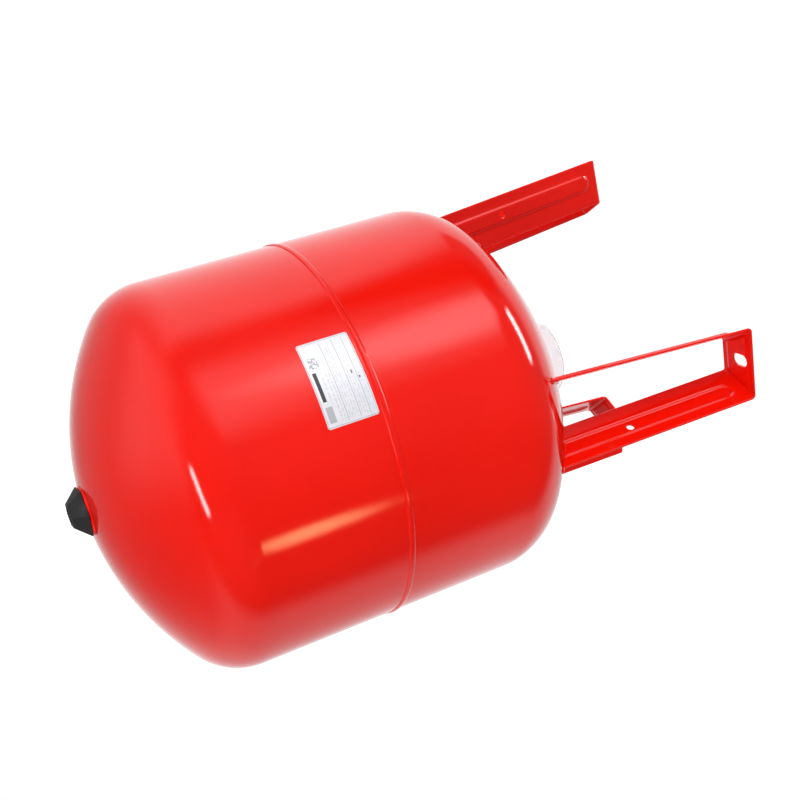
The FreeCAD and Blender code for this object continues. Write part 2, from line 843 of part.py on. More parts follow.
def make_leg():
    """One strap leg with a slot in the foot, a hole and a pressed rib in each limb."""
    body, window = hoop_body("leg_hoop", 0.0)
    round_bends(body, window)
    depth = DRIVING_SIZES["rib_depth"]
    thickness = DRIVING_SIZES["strap_thickness"]
    rib_middle = (DRIVING_SIZES["rib_start"] + DRIVING_SIZES["rib_end"]) / 2
    rib_length = S["rib_end"] - S["rib_start"]
    ribs = []
    hollows = []
    for side, word in ((-1, "left"), (1, "right")):
        rib = stadium("rib_" + word, rib_length, S["rib_half_width"] * 2, S["rib_depth"] + 1.0)
        rib.Placement = limb_frame(side, DRIVING_SIZES["rib_share"], rib_middle, -1.0)
        ribs.append(rib)
        hollow = stadium("hollow_" + word, rib_length - 4.0, S["rib_half_width"] * 2 - 4.0,
                         S["strap_thickness"] + 1.0)
        sunk = depth - thickness - thickness - 1.0
        hollow.Placement = limb_frame(side, DRIVING_SIZES["rib_share"], rib_middle, sunk)
        hollows.append(hollow)
        hole = doc.addObject("Part::Cylinder", "hole_" + word)
        hole.setExpression("Radius", S["hole_radius"].text)
        hole.Height = 20
        hole.Placement = limb_frame(side, DRIVING_SIZES["hole_share"],
                                    DRIVING_SIZES["hole_height"], -10.0)
        hollows.append(hole)
    slot = stadium("foot_slot", S["slot_length"], S["slot_width"], S["strap_thickness"] * 3)
    slot.Placement = FreeCAD.Placement(
        FreeCAD.Vector(DRIVING_SIZES["slot_place"], 0, -thickness), FreeCAD.Rotation())
    vessel = vessel_block("vessel_block", 0.0)
    ribbed = fuse("leg_ribbed", [body] + ribs)
    leg = cut("leg_open", ribbed, fuse("leg_openings", hollows + [slot]))
    return cut("leg_finished", leg, vessel)


def vessel_block(name, grow):
    """The lower dome as a full solid, larger than the shell by a given amount."""
    dome = dome_points(Size.of(-grow), False)
    return turned_body(name, [
        (ZERO, LOWER_TANGENT),
        dome["edge"],
        dome["join"],
        (ZERO, dome["apex"][0], dome["apex"][1], ZERO, dome["apex"][2]),
    ])


def make_leg_welds():
    """Beads around both limbs of one leg where they meet the dome."""
    size = DRIVING_SIZES["weld_size"]
    sleeve = hoop_body("weld_sleeve", size)[0]
    skin = vessel_block("weld_skin", size)
    near = common("weld_near", sleeve, skin)
    clear_of_shell = cut("weld_clear", near, doc.getObject("vessel_block"))
    return cut("weld_finished", clear_of_shell, doc.getObject("leg_ribbed"))


def make_legs():
    leg = make_leg()
    weld = make_leg_welds()
    pieces = []
    for number in range(3):
        angle = -90 + 120 * number
        pieces.append(placed_copy("leg_%d" % (number + 1), leg, angle))
        pieces.append(placed_copy("leg_%d_welds" % (number + 1), weld, angle))
    return pieces


# ------------------------------------------------------------ rating label

def make_label():
    """A thin foil label bent round the upper shell, just above the seam."""
    radius = S["shell_radius"] + 0.01
    foot = SEAM + S["label_start"]
    body = new_body("rating_label")
    sketch = new_sketch(body, "label_profile", "XZ_Plane")
    draw_outline(sketch, [
        (radius, foot),
        (radius + S["label_thickness"], foot),
        (radius + S["label_thickness"], foot + S["label_height"]),
        (radius, foot + S["label_height"]),
    ])
    bend = body.newObject("PartDesign::Revolution", "label_bend")
    bend.Profile = sketch
    bend.ReferenceAxis = (sketch, ["V_Axis"])
    bend.setExpression("Angle", (S["label_arc"] / S["shell_radius"] * (180 / math.pi)).text)
    bend.Midplane = True
    body.Tip = bend
    body.setExpression("Placement.Rotation.Angle", S["label_turn"].text)
    return body


# ------------------------------------------------------------------ output

def check_document():
    for item in doc.Objects:
        if "Invalid" in item.State or "Error" in item.State:
            raise RuntimeError("%s failed: %s" % (item.Name, item.getStatusString()))


def write_parts(pieces):
    os.makedirs("parts", exist_ok=True)
    for piece in pieces:
        shape = piece.Shape
        if shape.isNull() or not shape.isValid() or not shape.Solids:
            raise RuntimeError("%s has no valid solid" % piece.Label)
    for piece in pieces:
        piece.Shape.exportStep("parts/%s.step" % piece.Label)
        print("%-20s solids %d volume %.1f mm3" % (
            piece.Label, len(piece.Shape.Solids), piece.Shape.Volume))


def build():
    pieces = make_shells()
    pieces.append(make_seam_weld())
    pieces.append(make_diaphragm())
    pieces.append(make_clamp_ring())
    pieces.extend(make_socket())
    pieces.extend(make_plug())
    pieces.append(make_valve_stem())
    pieces.extend(make_valve_fixings())
    pieces.extend(make_valve_core())
    pieces.extend(make_valve_cap())
    pieces.append(make_valve_cover())
    pieces.extend(make_legs())
    pieces.append(make_label())
    doc.recompute()
    check_document()
    write_parts(pieces)


build()
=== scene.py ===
import bpy
import bmesh
import math
import numpy as np
from mathutils import Matrix, Vector


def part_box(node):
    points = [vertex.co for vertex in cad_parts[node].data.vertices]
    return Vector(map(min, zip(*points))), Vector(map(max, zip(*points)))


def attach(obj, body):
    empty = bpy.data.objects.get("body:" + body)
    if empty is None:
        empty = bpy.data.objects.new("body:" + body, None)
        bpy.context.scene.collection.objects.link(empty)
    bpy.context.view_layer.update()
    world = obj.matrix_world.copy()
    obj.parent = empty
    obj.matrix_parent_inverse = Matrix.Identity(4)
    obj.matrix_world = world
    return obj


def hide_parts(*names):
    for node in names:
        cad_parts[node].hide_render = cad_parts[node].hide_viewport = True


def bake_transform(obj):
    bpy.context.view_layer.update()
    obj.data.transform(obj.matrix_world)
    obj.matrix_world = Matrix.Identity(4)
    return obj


# Looks of a floor-standing expansion vessel, built round its CAD frame.
# Metres, Z up, origin on the floor under the vessel's axis.

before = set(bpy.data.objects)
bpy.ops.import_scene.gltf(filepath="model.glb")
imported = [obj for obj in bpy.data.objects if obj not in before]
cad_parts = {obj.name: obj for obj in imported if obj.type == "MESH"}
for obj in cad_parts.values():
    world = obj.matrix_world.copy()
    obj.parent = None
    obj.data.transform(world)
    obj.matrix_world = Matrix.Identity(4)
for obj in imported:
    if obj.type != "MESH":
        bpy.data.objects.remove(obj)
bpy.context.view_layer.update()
fullTurn = 2 * math.pi
mm = 0.001


def heights(node):
    # the lowest and highest level of a CAD node
    low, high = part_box(node)
    return low.z, high.z


vessel = {
    "radius": round(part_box("upper_shell")[1].x, 4),
    "wall": 1.5 * mm,
    "seam": sum(heights("seam_weld")) / 2,
    "upperStraight": 137.5 * mm,
    "lowerStraight": 129 * mm,
    "kneeRadius": 63 * mm,
    "crownRadius": 274 * mm,
}
kneeCentre = vessel["radius"] - vessel["kneeRadius"]
crownSink = math.sqrt((vessel["crownRadius"] - vessel["kneeRadius"]) ** 2 - kneeCentre ** 2)
upperTangent = vessel["seam"] + vessel["upperStraight"]
lowerTangent = vessel["seam"] - vessel["lowerStraight"]
topApex = upperTangent + vessel["crownRadius"] - crownSink
bottomApex = lowerTangent - vessel["crownRadius"] + crownSink
kneeAngle = math.acos(kneeCentre / (vessel["crownRadius"] - vessel["kneeRadius"]))


def domeProfile(offset, upward, hole, knee=20, crown=22):
    # points (radius, height) from the cylinder's edge over the knee to the hole in the crown
    way = 1 if upward else -1
    tangent = upperTangent if upward else lowerTangent
    points = []
    for step in range(knee + 1):
        angle = kneeAngle * step / knee
        reach = vessel["kneeRadius"] - offset
        points.append((kneeCentre + reach * math.cos(angle), tangent + way * reach * math.sin(angle)))
    reach = vessel["crownRadius"] - offset
    last = math.acos(hole / reach)
    for step in range(1, crown + 1):
        angle = kneeAngle + (last - kneeAngle) * step / crown
        height = tangent - way * crownSink + way * reach * math.sin(angle)
        points.append((reach * math.cos(angle), height))
    return points


def outsideDome(point):
    # above zero where a point is outside the lower half of the vessel
    flat = math.hypot(point[0], point[1])
    height = point[2]
    if height >= lowerTangent:
        return flat - vessel["radius"]
    centre = lowerTangent + crownSink
    if flat * math.sin(kneeAngle) < (centre - height) * math.cos(kneeAngle):
        return math.hypot(flat, centre - height) - vessel["crownRadius"]
    return math.hypot(flat - kneeCentre, lowerTangent - height) - vessel["kneeRadius"]


class Value:
    # one socket of a shader tree, so that masks are written as plain sums
    def __init__(self, finish, socket):
        self.finish = finish
        self.socket = socket

    def sum(self, operation, first, second):
        return self.finish.node("ShaderNodeMath", {"operation": operation}, {0: first, 1: second})

    def between(self, first, last):
        return (self > first) * (self < last)

    def ease(self, first, last):
        # 0 at first, 1 at last, soft at both ends
        return self.finish.node("ShaderNodeMapRange",
                                {"interpolation_type": "SMOOTHSTEP", "clamp": True},
                                {"Value": self, "From Min": first, "From Max": last})


def addOperator(name, operation, reflected=False):
    def apply(self, other=0.0):
        return self.sum(operation, other, self) if reflected else self.sum(operation, self, other)
    setattr(Value, name, apply)


for word, operation in {
    "__add__": "ADD", "__sub__": "SUBTRACT", "__mul__": "MULTIPLY", "__truediv__": "DIVIDE",
    "__gt__": "GREATER_THAN", "__lt__": "LESS_THAN", "low": "MINIMUM", "high": "MAXIMUM",
    "fraction": "FRACT", "whole": "FLOOR", "size": "ABSOLUTE", "root": "SQRT",
}.items():
    addOperator(word, operation)
for word, operation in {"__radd__": "ADD", "__rsub__": "SUBTRACT", "__rmul__": "MULTIPLY"}.items():
    addOperator(word, operation, reflected=True)


class Finish:
    # a material or world whose nodes come from one method
    def __init__(self, name, world=False):
        store = bpy.data.worlds if world else bpy.data.materials
        self.block = store.new(name)
        self.block.use_nodes = True
        self.tree = self.block.node_tree
        self.tree.nodes.clear()

    def node(self, kind, settings=None, sockets=None, output=0):
        made = self.tree.nodes.new(kind)
        for key, value in (settings or {}).items():
            setattr(made, key, value)
        for key, value in (sockets or {}).items():
            if isinstance(value, Value):
                self.tree.links.new(value.socket, made.inputs[key])
            else:
                made.inputs[key].default_value = value
        return Value(self, made.outputs[output]) if len(made.outputs) else made

    def objectPoint(self):
        return self.node("ShaderNodeTexCoord", output="Object")

    def axes(self, vector):
        return [self.node("ShaderNodeSeparateXYZ", sockets={0: vector}, output=n) for n in range(3)]

    def noise(self, vector, scale, detail=3.0, roughness=0.5):
        return self.node("ShaderNodeTexNoise", {"noise_dimensions": "3D"},
                         {"Vector": vector, "Scale": scale, "Detail": detail, "Roughness": roughness})

    def stretch(self, vector, scale):
        return self.node("ShaderNodeMapping", sockets={"Vector": vector, "Scale": scale})

    def colours(self, factor, first, second):
        # the Mix node's colour sockets are its seventh and eighth inputs
        first = first if isinstance(first, Value) else (*first, 1)
        second = second if isinstance(second, Value) else (*second, 1)
        return self.node("ShaderNodeMix", {"data_type": "RGBA"}, {0: factor, 6: first, 7: second}, output=2)

    def bump(self, height, strength, distance, normal=None):
        sockets = {"Height": height, "Strength": strength, "Distance": distance}
        if normal is not None:
            sockets["Normal"] = normal
        return self.node("ShaderNodeBump", sockets=sockets)

    def surface(self, sockets):
        shader = self.node("ShaderNodeBsdfPrincipled", sockets=sockets)
        self.node("ShaderNodeOutputMaterial", sockets={"Surface": shader})
        return self.block


enamel = {
    "red": (0.88, 0.0075, 0.0016),
    "deepRed": (0.83, 0.0062, 0.0012),
    "peelSize": 230.0,
    "peelDepth": 0.00006,
    "gloss": 0.07,
    "dust": (0.55, 0.07, 0.06),
}


def makeRedEnamel(name, peel=1.0, dust=0.0):
    # stove enamel over steel: deep colour, sharp gloss and a faint orange peel
    finish = Finish(name)
    point = finish.objectPoint()
    cloud = finish.noise(point, 7.0, 2.0)
    fine = finish.noise(point, enamel["peelSize"], 2.0, 0.45)
    wide = finish.noise(point, enamel["peelSize"] * 0.22, 1.0)
    specks = finish.noise(point, 900.0, 1.0).ease(0.74, 0.80)
    colour = finish.colours(cloud.ease(0.3, 0.7), enamel["deepRed"], enamel["red"])
    film = finish.noise(point, 26.0, 4.0, 0.6).ease(0.52, 0.8) * dust
    colour = finish.colours(film, colour, enamel["dust"])
    roughness = enamel["gloss"] + cloud * 0.05 + specks * 0.10 + film * 0.25
    height = fine * 0.7 + wide * 1.3 + specks * 0.5
    normal = finish.bump(height, 0.5 * peel, enamel["peelDepth"])
    return finish.surface({
        "Base Color": colour, "Roughness": roughness, "Normal": normal, "IOR": 1.5,
    })


def makeRubber(name, colour, worn, grain=700.0):
    # moulded rubber: matt, a little dusty, fine grain
    finish = Finish(name)
    point = finish.objectPoint()
    cloud = finish.noise(point, 40.0, 4.0, 0.6)
    dust = cloud.ease(0.5, 0.75) * 0.5
    shade = finish.colours(dust, colour, worn)
    roughness = 0.52 + cloud * 0.2
    normal = finish.bump(finish.noise(point, grain, 2.0), 0.35, 0.0001)
    return finish.surface({"Base Color": shade, "Roughness": roughness, "Normal": normal, "IOR": 1.5})


def makePlastic(name, colour, second, roughness, grain=900.0, depth=0.00004):
    # moulded plastic: fine spark texture, faint flow clouds
    finish = Finish(name)
    point = finish.objectPoint()
    cloud = finish.noise(point, 30.0, 3.0)
    shade = finish.colours(cloud.ease(0.35, 0.7), colour, second)
    rough = roughness + cloud * 0.12
    scuff = finish.noise(finish.stretch(point, (60.0, 60.0, 700.0)), 1.0, 2.0).ease(0.62, 0.75)
    normal = finish.bump(finish.noise(point, grain, 2.0) + scuff * 0.3, 0.4, depth)
    return finish.surface({"Base Color": shade, "Roughness": rough + scuff * 0.08,
                           "Normal": normal, "IOR": 1.47})


def makeMetal(name, colour, second, roughness, turned=0.0, stain=None):
    # plated or turned metal; turned gives fine tool rings along the height
    finish = Finish(name)
    point = finish.objectPoint()
    cloud = finish.noise(point, 90.0, 4.0, 0.6)
    shade = finish.colours(cloud.ease(0.35, 0.7), colour, second)
    if stain is not None:
        shade = finish.colours(finish.noise(point, 300.0, 3.0).ease(0.6, 0.72) * 0.6, shade, stain)
    if turned:
        grain = finish.noise(finish.stretch(point, (40.0, 40.0, 5200.0)), 1.0, 2.0)
    else:
        grain = finish.noise(point, 2600.0, 1.0)
    rough = roughness + cloud * 0.15
    normal = finish.bump(grain, 0.25 + turned, 0.00003)
    return finish.surface({"Base Color": shade, "Metallic": 1.0, "Roughness": rough, "Normal": normal})


def makeClearPlastic():
    # clear cover with fine drag marks from the mould
    finish = Finish("clearCover")
    point = finish.objectPoint()
    cloud = finish.noise(point, 60.0, 3.0)
    shade = finish.colours(cloud, (0.98, 0.985, 1.0), (0.95, 0.96, 0.98))
    drag = finish.noise(finish.stretch(point, (500.0, 500.0, 12.0)), 1.0, 2.0)
    normal = finish.bump(drag, 0.2, 0.00005)
    return finish.surface({
        "Base Color": shade, "Roughness": 0.03 + cloud * 0.06, "Normal": normal, "IOR": 1.42,
        "Transmission Weight": 0.96,
    })


label = {
    "paper": (0.80, 0.81, 0.86),
    "tint": (0.66, 0.76, 0.86),
    "ink": (0.36, 0.37, 0.40),
    "darkInk": (0.03, 0.03, 0.035),
    "rules": (0.58, 0.34, 0.15),
    "codeCells": 17.0,
    # patches of print: first and last place across, first and last place up
    "code": (0.685, 0.815, 0.745, 0.935),
    "bar": (0.30, 0.64, 0.855, 0.925),
    "block": (0.06, 0.24, 0.80, 0.93),
    "ticks": ((0.515, 0.56, 0.215, 0.235), (0.445, 0.47, 0.10, 0.13)),
    # fields of small print: the same four places, rows and how full they are
    "fields": (
        (0.05, 0.60, 0.60, 0.72, 2, 0.7), (0.05, 0.90, 0.42, 0.56, 3, 0.75),
        (0.05, 0.46, 0.36, 0.42, 1, 0.6), (0.05, 0.62, 0.18, 0.32, 3, 0.7),
        (0.66, 0.92, 0.18, 0.32, 3, 0.5), (0.05, 0.66, 0.05, 0.13, 2, 0.4),
        (0.30, 0.64, 0.745, 0.80, 1, 0.95),
    ),
}


def makeLabelFoil():
    # silvered foil with a plain form printed on it: rules, rows of dashes and blocks, no lettering
    finish = Finish("labelFoil")
    place = finish.node("ShaderNodeUVMap", {"uv_map": "labelMap"})
    across, up = finish.axes(place)[:2]
    ink = up.between(0.975, 0.985) + up.between(0.018, 0.028)
    ink = ink + across.between(0.012, 0.018) + across.between(0.982, 0.988)
    for height in label["rules"]:
        ink = ink + up.between(height - 0.006, height + 0.006) * across.between(0.04, 0.96)
    ink = ink.low(1.0)

    def patch(first, last, low, high):
        return across.between(first, last) * up.between(low, high)

    def rows(first, last, low, high, count, cover):
        # rows of uneven dashes inside one field
        row = (up - low) / (high - low) * count
        line = row.fraction().between(0.30, 0.68)
        cell = (across * 170.0).whole()
        seed = finish.node("ShaderNodeCombineXYZ", sockets={0: cell, 1: row.whole() + low * 50})
        chance = finish.node("ShaderNodeTexWhiteNoise", {"noise_dimensions": "3D"}, {"Vector": seed})
        words = finish.noise(finish.stretch(seed, (0.16, 3.1, 1.0)), 1.0, 1.0).ease(0.40, 0.44)
        return patch(first, last, low, high) * line * words * (chance > (1 - cover))

    small = rows(*label["fields"][0])
    for field in label["fields"][1:]:
        small = small + rows(*field)

    cells = label["codeCells"]
    column = (across * cells * 4.0).whole()
    line = (up * cells * 2.45).whole()
    spot = finish.node("ShaderNodeCombineXYZ", sockets={0: column, 1: line})
    chance = finish.node("ShaderNodeTexWhiteNoise", {"noise_dimensions": "3D"}, {"Vector": spot})
    code = (chance > 0.46) * patch(*label["code"])
    bar = patch(*label["bar"])
    block = patch(*label["block"])
    ticks = patch(*label["ticks"][0]) + patch(*label["ticks"][1])
    tinted = finish.noise(finish.stretch(place, (9.0, 3.0, 1.0)), 1.0, 2.0)
    band = up.between(0.028, 0.14) * 0.5

    shade = finish.colours(tinted.ease(0.35, 0.7), label["paper"], (0.86, 0.83, 0.90))
    shade = finish.colours(band * tinted, shade, label["tint"])
    shade = finish.colours(ink * 0.75, shade, label["ink"])
    shade = finish.colours(small.low(1.0) * 0.40, shade, label["ink"])
    shade = finish.colours(code * 0.85, shade, label["ink"])
    shade = finish.colours(block * 0.80, shade, (0.40, 0.41, 0.44))
    shade = finish.colours((bar + ticks).low(1.0) * 0.97, shade, label["darkInk"])
    printed = (bar + ticks + code + block + ink).low(1.0)
    rough = 0.34 + printed * 0.18
    fibre = finish.noise(finish.stretch(place, (240.0, 150.0, 1.0)), 1.0, 2.0)
    normal = finish.bump(fibre + printed * 0.8, 0.12, 0.00004)
    return finish.surface({"Base Color": shade, "Metallic": 0.12, "Roughness": rough,
                           "Normal": normal, "Coat Weight": 0.3, "Coat Roughness": 0.08})


print("materials")
redEnamel = makeRedEnamel("redEnamel")
legEnamel = makeRedEnamel("legEnamel", peel=1.6, dust=0.05)
weldEnamel = makeRedEnamel("weldEnamel", peel=2.0, dust=0.04)
plugRubber = makeRubber("plugBlack", (0.012, 0.012, 0.013), (0.06, 0.06, 0.065), 420.0)
sealRubber = makeRubber("sealRubber", (0.02, 0.02, 0.021), (0.05, 0.05, 0.05))
membraneRubber = makeRubber("membraneRubber", (0.018, 0.017, 0.017), (0.07, 0.065, 0.06), 260.0)
capPlastic = makePlastic("capPlastic", (0.016, 0.016, 0.017), (0.03, 0.03, 0.032), 0.36)
sealPlastic = makePlastic("sealPlastic", (0.80, 0.80, 0.77), (0.72, 0.72, 0.69), 0.42)
zincSteel = makeMetal("zincSteel", (0.62, 0.62, 0.60), (0.50, 0.51, 0.52), 0.28, stain=(0.55, 0.52, 0.40))
clampSteel = makeMetal("clampSteel", (0.34, 0.33, 0.32), (0.24, 0.23, 0.22), 0.42, stain=(0.20, 0.12, 0.08))
turnedBrass = makeMetal("turnedBrass", (0.78, 0.56, 0.24), (0.66, 0.46, 0.20), 0.24, turned=0.2,
                        stain=(0.35, 0.24, 0.12))
springSteel = makeMetal("springSteel", (0.58, 0.58, 0.60), (0.45, 0.45, 0.47), 0.22)
clearPlastic = makeClearPlastic()
labelFoil = makeLabelFoil()


def addObject(name, data):
    made = bpy.data.objects.new(name, data)
    bpy.context.scene.collection.objects.link(made)
    return made


def addPiece(name, points, faces, material, sharpAngle=32.0):
    mesh = bpy.data.meshes.new(name)
    mesh.from_pydata([tuple(p) for p in points], [], faces)
    mesh.validate()
    piece = addObject(name, mesh)
    piece.data.materials.append(material)
    tidyMesh(piece, sharpAngle)
    return piece


def tidyMesh(piece, sharpAngle=32.0, merge=1e-6):
    # doubles merged, faces outwards, hard edges where the surface turns sharply
    work = bmesh.new()
    work.from_mesh(piece.data)
    bmesh.ops.remove_doubles(work, verts=work.verts, dist=merge)
    bmesh.ops.recalc_face_normals(work, faces=work.faces)
    limit = math.radians(sharpAngle)
    for face in work.faces:
        face.smooth = True
    for edge in work.edges:
        edge.smooth = len(edge.link_faces) != 2 or edge.calc_face_angle(0.0) < limit
    work.to_mesh(piece.data)
    work.free()
    piece.data.update()


def finishPiece(piece, body, slot, *nodes):
    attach(piece, body)
    if nodes:
        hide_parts(*nodes)
    return piece


def bakeModifiers(piece):
    # the modifiers' result becomes the piece's own plain mesh
    bpy.context.view_layer.update()
    graph = bpy.context.evaluated_depsgraph_get()
    mesh = bpy.data.meshes.new_from_object(piece.evaluated_get(graph), depsgraph=graph)
    mesh.name = piece.name
    piece.modifiers.clear()
    piece.data = mesh
    return piece


def joinPieces(main, others):
    # adds the other meshes, with their materials, to the main piece
    work = bmesh.new()
    work.from_mesh(main.data)
    materials = list(main.data.materials)
    for other in others:
        before = len(work.faces)
        work.from_mesh(other.data)
        work.faces.ensure_lookup_table()
        shift = len(materials)
        for face in work.faces[before:]:
            face.material_index += shift
        materials.extend(other.data.materials)
        bpy.data.objects.remove(other)
    main.data.materials.clear()
    for material in materials:
        main.data.materials.append(material)
    work.to_mesh(main.data)
    work.free()
    return main


def polar(radius, angle, height):
    return (radius * math.cos(angle), radius * math.sin(angle), height)


def ringPoints(radius, height, count=180):
    return [polar(radius, fullTurn * n / count, height) for n in range(count)]


def bridge(first, second):
    # quads between two rings of point numbers
    count = len(first)
    return [[first[n], first[(n + 1) % count], second[(n + 1) % count], second[n]] for n in range(count)]


def roundCorners(points, radius, steps=3):
    # a closed outline (radius, height) with its corners rounded where a radius is given
    rounded = []
    count = len(points)
    for number, (across, height, *own) in enumerate(points):
        size = own[0] if own else radius
        here = Vector((across, height))
        before = Vector(points[number - 1][:2]) - here
        after = Vector(points[(number + 1) % count][:2]) - here
        cut = min(size, before.length * 0.45, after.length * 0.45)
        if cut < 1e-6:
            rounded.append((across, height))
            continue
        start = here + before.normalized() * cut
        end = here + after.normalized() * cut
        for step in range(steps + 1):
            share = step / steps
            bend = start.lerp(here, share).lerp(here.lerp(end, share), share)
            rounded.append((bend.x, bend.y))
    return rounded


def turnedPiece(name, outline, material, segments=96, sharpAngle=32.0):
    # a closed outline turned round the Z axis; points on the axis become one pole
    points = []
    rings = []
    for across, height in outline:
        if across < 1e-7:
            rings.append([len(points)] * segments)
            points.append((0, 0, height))
            continue
        rings.append(list(range(len(points), len(points) + segments)))
        points += ringPoints(across, height, segments)
    faces = []
    for number, ring in enumerate(rings):
        nextRing = rings[(number + 1) % len(rings)]
        if len(set(ring)) == 1 and len(set(nextRing)) == 1:
            continue
        faces += [list(dict.fromkeys(face)) for face in bridge(ring, nextRing)]
    return addPiece(name, points, faces, material, sharpAngle)


class Tree:
    # a geometry tree with named inputs, made one node at a time
    def __init__(self, name, inputs, takesPath=False):
        self.group = bpy.data.node_groups.new(name, "GeometryNodeTree")
        face = self.group.interface
        if takesPath:
            face.new_socket("Geometry", in_out="INPUT", socket_type="NodeSocketGeometry")
        for title, kind, default in inputs:
            socket = face.new_socket(title, in_out="INPUT", socket_type=kind)
            if default is not None:
                socket.default_value = default
        face.new_socket("Geometry", in_out="OUTPUT", socket_type="NodeSocketGeometry")
        self.start = self.group.nodes.new("NodeGroupInput")

    def given(self, name):
        return self.start.outputs[name]

    def node(self, kind, settings=None, sockets=None, output=0):
        made = self.group.nodes.new(kind)
        for key, value in (settings or {}).items():
            setattr(made, key, value)
        for key, value in (sockets or {}).items():
            if isinstance(value, bpy.types.NodeSocket):
                self.group.links.new(value, made.inputs[key])
            else:
                made.inputs[key].default_value = value
        return made.outputs[output]

    def maths(self, operation, first, second):
        return self.node("ShaderNodeMath", {"operation": operation}, {0: first, 1: second})

    def close(self, geometry):
        real = self.node("GeometryNodeRealizeInstances", sockets={"Geometry": geometry})
        smooth = self.node("GeometryNodeSetShadeSmooth", sockets={"Geometry": real})
        painted = self.node("GeometryNodeSetMaterial",
                            sockets={"Geometry": smooth, "Material": self.given("Material")})
        end = self.group.nodes.new("NodeGroupOutput")
        self.group.links.new(painted, end.inputs["Geometry"])
        return self.group


def runTree(name, group, values, path=None):
    # puts the tree on an object, sets its inputs by identifier and keeps the plain mesh
    mesh = path if path is not None else bpy.data.meshes.new(name)
    piece = addObject(name, mesh)
    modifier = piece.modifiers.new("nodes", "NODES")
    modifier.node_group = group
    for item in group.interface.items_tree:
        if item.item_type == "SOCKET" and item.in_out == "INPUT" and item.name in values:
            modifier[item.identifier] = values[item.name]
    return bakeModifiers(piece)


def makeBeadTree():
    # a weld bead along a closed path, with uneven ripples from the torch
    tree = Tree("weldBead", [
        ("Half Width", "NodeSocketFloat", 0.003),
        ("Rise", "NodeSocketFloat", 0.002),
        ("Spacing", "NodeSocketFloat", 0.0016),
        ("Ripple", "NodeSocketFloat", 0.12),
        ("Ripple Scale", "NodeSocketFloat", 300.0),
        ("Sides", "NodeSocketInt", 14),
        ("Material", "NodeSocketMaterial", None),
    ], takesPath=True)
    curve = tree.node("GeometryNodeMeshToCurve", sockets={"Mesh": tree.given("Geometry")})
    even = tree.node("GeometryNodeResampleCurve", {"mode": "LENGTH"},
                     {"Curve": curve, "Length": tree.given("Spacing")})
    upright = tree.node("GeometryNodeSetCurveNormal", {"mode": "Z_UP"}, {"Curve": even})
    place = tree.node("GeometryNodeInputPosition")
    noise = tree.node("ShaderNodeTexNoise", {"noise_dimensions": "3D"},
                      {"Vector": place, "Scale": tree.given("Ripple Scale"), "Detail": 1.0})
    drop = tree.maths("MULTIPLY", tree.maths("SUBTRACT", 1.0, noise), tree.given("Ripple"))
    radius = tree.maths("SUBTRACT", 1.0, drop)
    swollen = tree.node("GeometryNodeSetCurveRadius", sockets={"Curve": upright, "Radius": radius})
    circle = tree.node("GeometryNodeCurvePrimitiveCircle", {"mode": "RADIUS"},
                       {"Resolution": tree.given("Sides"), "Radius": 1.0})
    shape = tree.node("ShaderNodeCombineXYZ",
                      sockets={0: tree.given("Half Width"), 1: tree.given("Rise"), 2: 1.0})
    flat = tree.node("GeometryNodeTransform", sockets={"Geometry": circle, "Scale": shape})
    bead = tree.node("GeometryNodeCurveToMesh", sockets={
        "Curve": swollen, "Profile Curve": flat, "Fill Caps": True})
    if "Scale" in bead.node.inputs:
        tree.group.links.new(radius, bead.node.inputs["Scale"])
    return tree.close(bead)


def makeCoilTree():
    # a round section wound up a helix: threads and springs
    tree = Tree("coil", [
        ("Radius", "NodeSocketFloat", 0.012),
        ("Pitch", "NodeSocketFloat", 0.0018),
        ("Turns", "NodeSocketFloat", 5.0),
        ("Section", "NodeSocketFloat", 0.0007),
        ("Start", "NodeSocketFloat", 0.0),
        ("Steps", "NodeSocketInt", 64),
        ("Sides", "NodeSocketInt", 8),
        ("Material", "NodeSocketMaterial", None),
    ])
    rise = tree.maths("MULTIPLY", tree.given("Pitch"), tree.given("Turns"))
    spiral = tree.node("GeometryNodeCurveSpiral", sockets={
        "Resolution": tree.given("Steps"), "Rotations": tree.given("Turns"),
        "Start Radius": tree.given("Radius"), "End Radius": tree.given("Radius"), "Height": rise})
    circle = tree.node("GeometryNodeCurvePrimitiveCircle", {"mode": "RADIUS"},
                       {"Resolution": tree.given("Sides"), "Radius": tree.given("Section")})
    wire = tree.node("GeometryNodeCurveToMesh",
                     sockets={"Curve": spiral, "Profile Curve": circle, "Fill Caps": True})
    lift = tree.node("ShaderNodeCombineXYZ", sockets={2: tree.given("Start")})
    raised = tree.node("GeometryNodeTransform", sockets={"Geometry": wire, "Translation": lift})
    return tree.close(raised)


def makeRibTree():
    # upright round ribs in a ring, as on a knurled cap
    tree = Tree("ribRing", [
        ("Radius", "NodeSocketFloat", 0.005),
        ("Count", "NodeSocketInt", 24),
        ("Rib Radius", "NodeSocketFloat", 0.0004),
        ("Height", "NodeSocketFloat", 0.009),
        ("Start", "NodeSocketFloat", 0.0),
        ("Material", "NodeSocketMaterial", None),
    ])
    ring = tree.node("GeometryNodeMeshCircle", {"fill_type": "NONE"},
                     {"Vertices": tree.given("Count"), "Radius": tree.given("Radius")})
    rib = tree.node("GeometryNodeMeshCylinder", {"fill_type": "NGON"}, {
        "Vertices": 8, "Side Segments": 1, "Radius": tree.given("Rib Radius"),
        "Depth": tree.given("Height")})
    ribs = tree.node("GeometryNodeInstanceOnPoints", sockets={"Points": ring, "Instance": rib})
    half = tree.maths("MULTIPLY", tree.given("Height"), 0.5)
    lift = tree.node("ShaderNodeCombineXYZ",
                     sockets={2: tree.maths("ADD", tree.given("Start"), half)})
    raised = tree.node("GeometryNodeTransform", sockets={"Geometry": ribs, "Translation": lift})
    return tree.close(raised)


beadTree = makeBeadTree()
coilTree = makeCoilTree()
ribTree = makeRibTree()


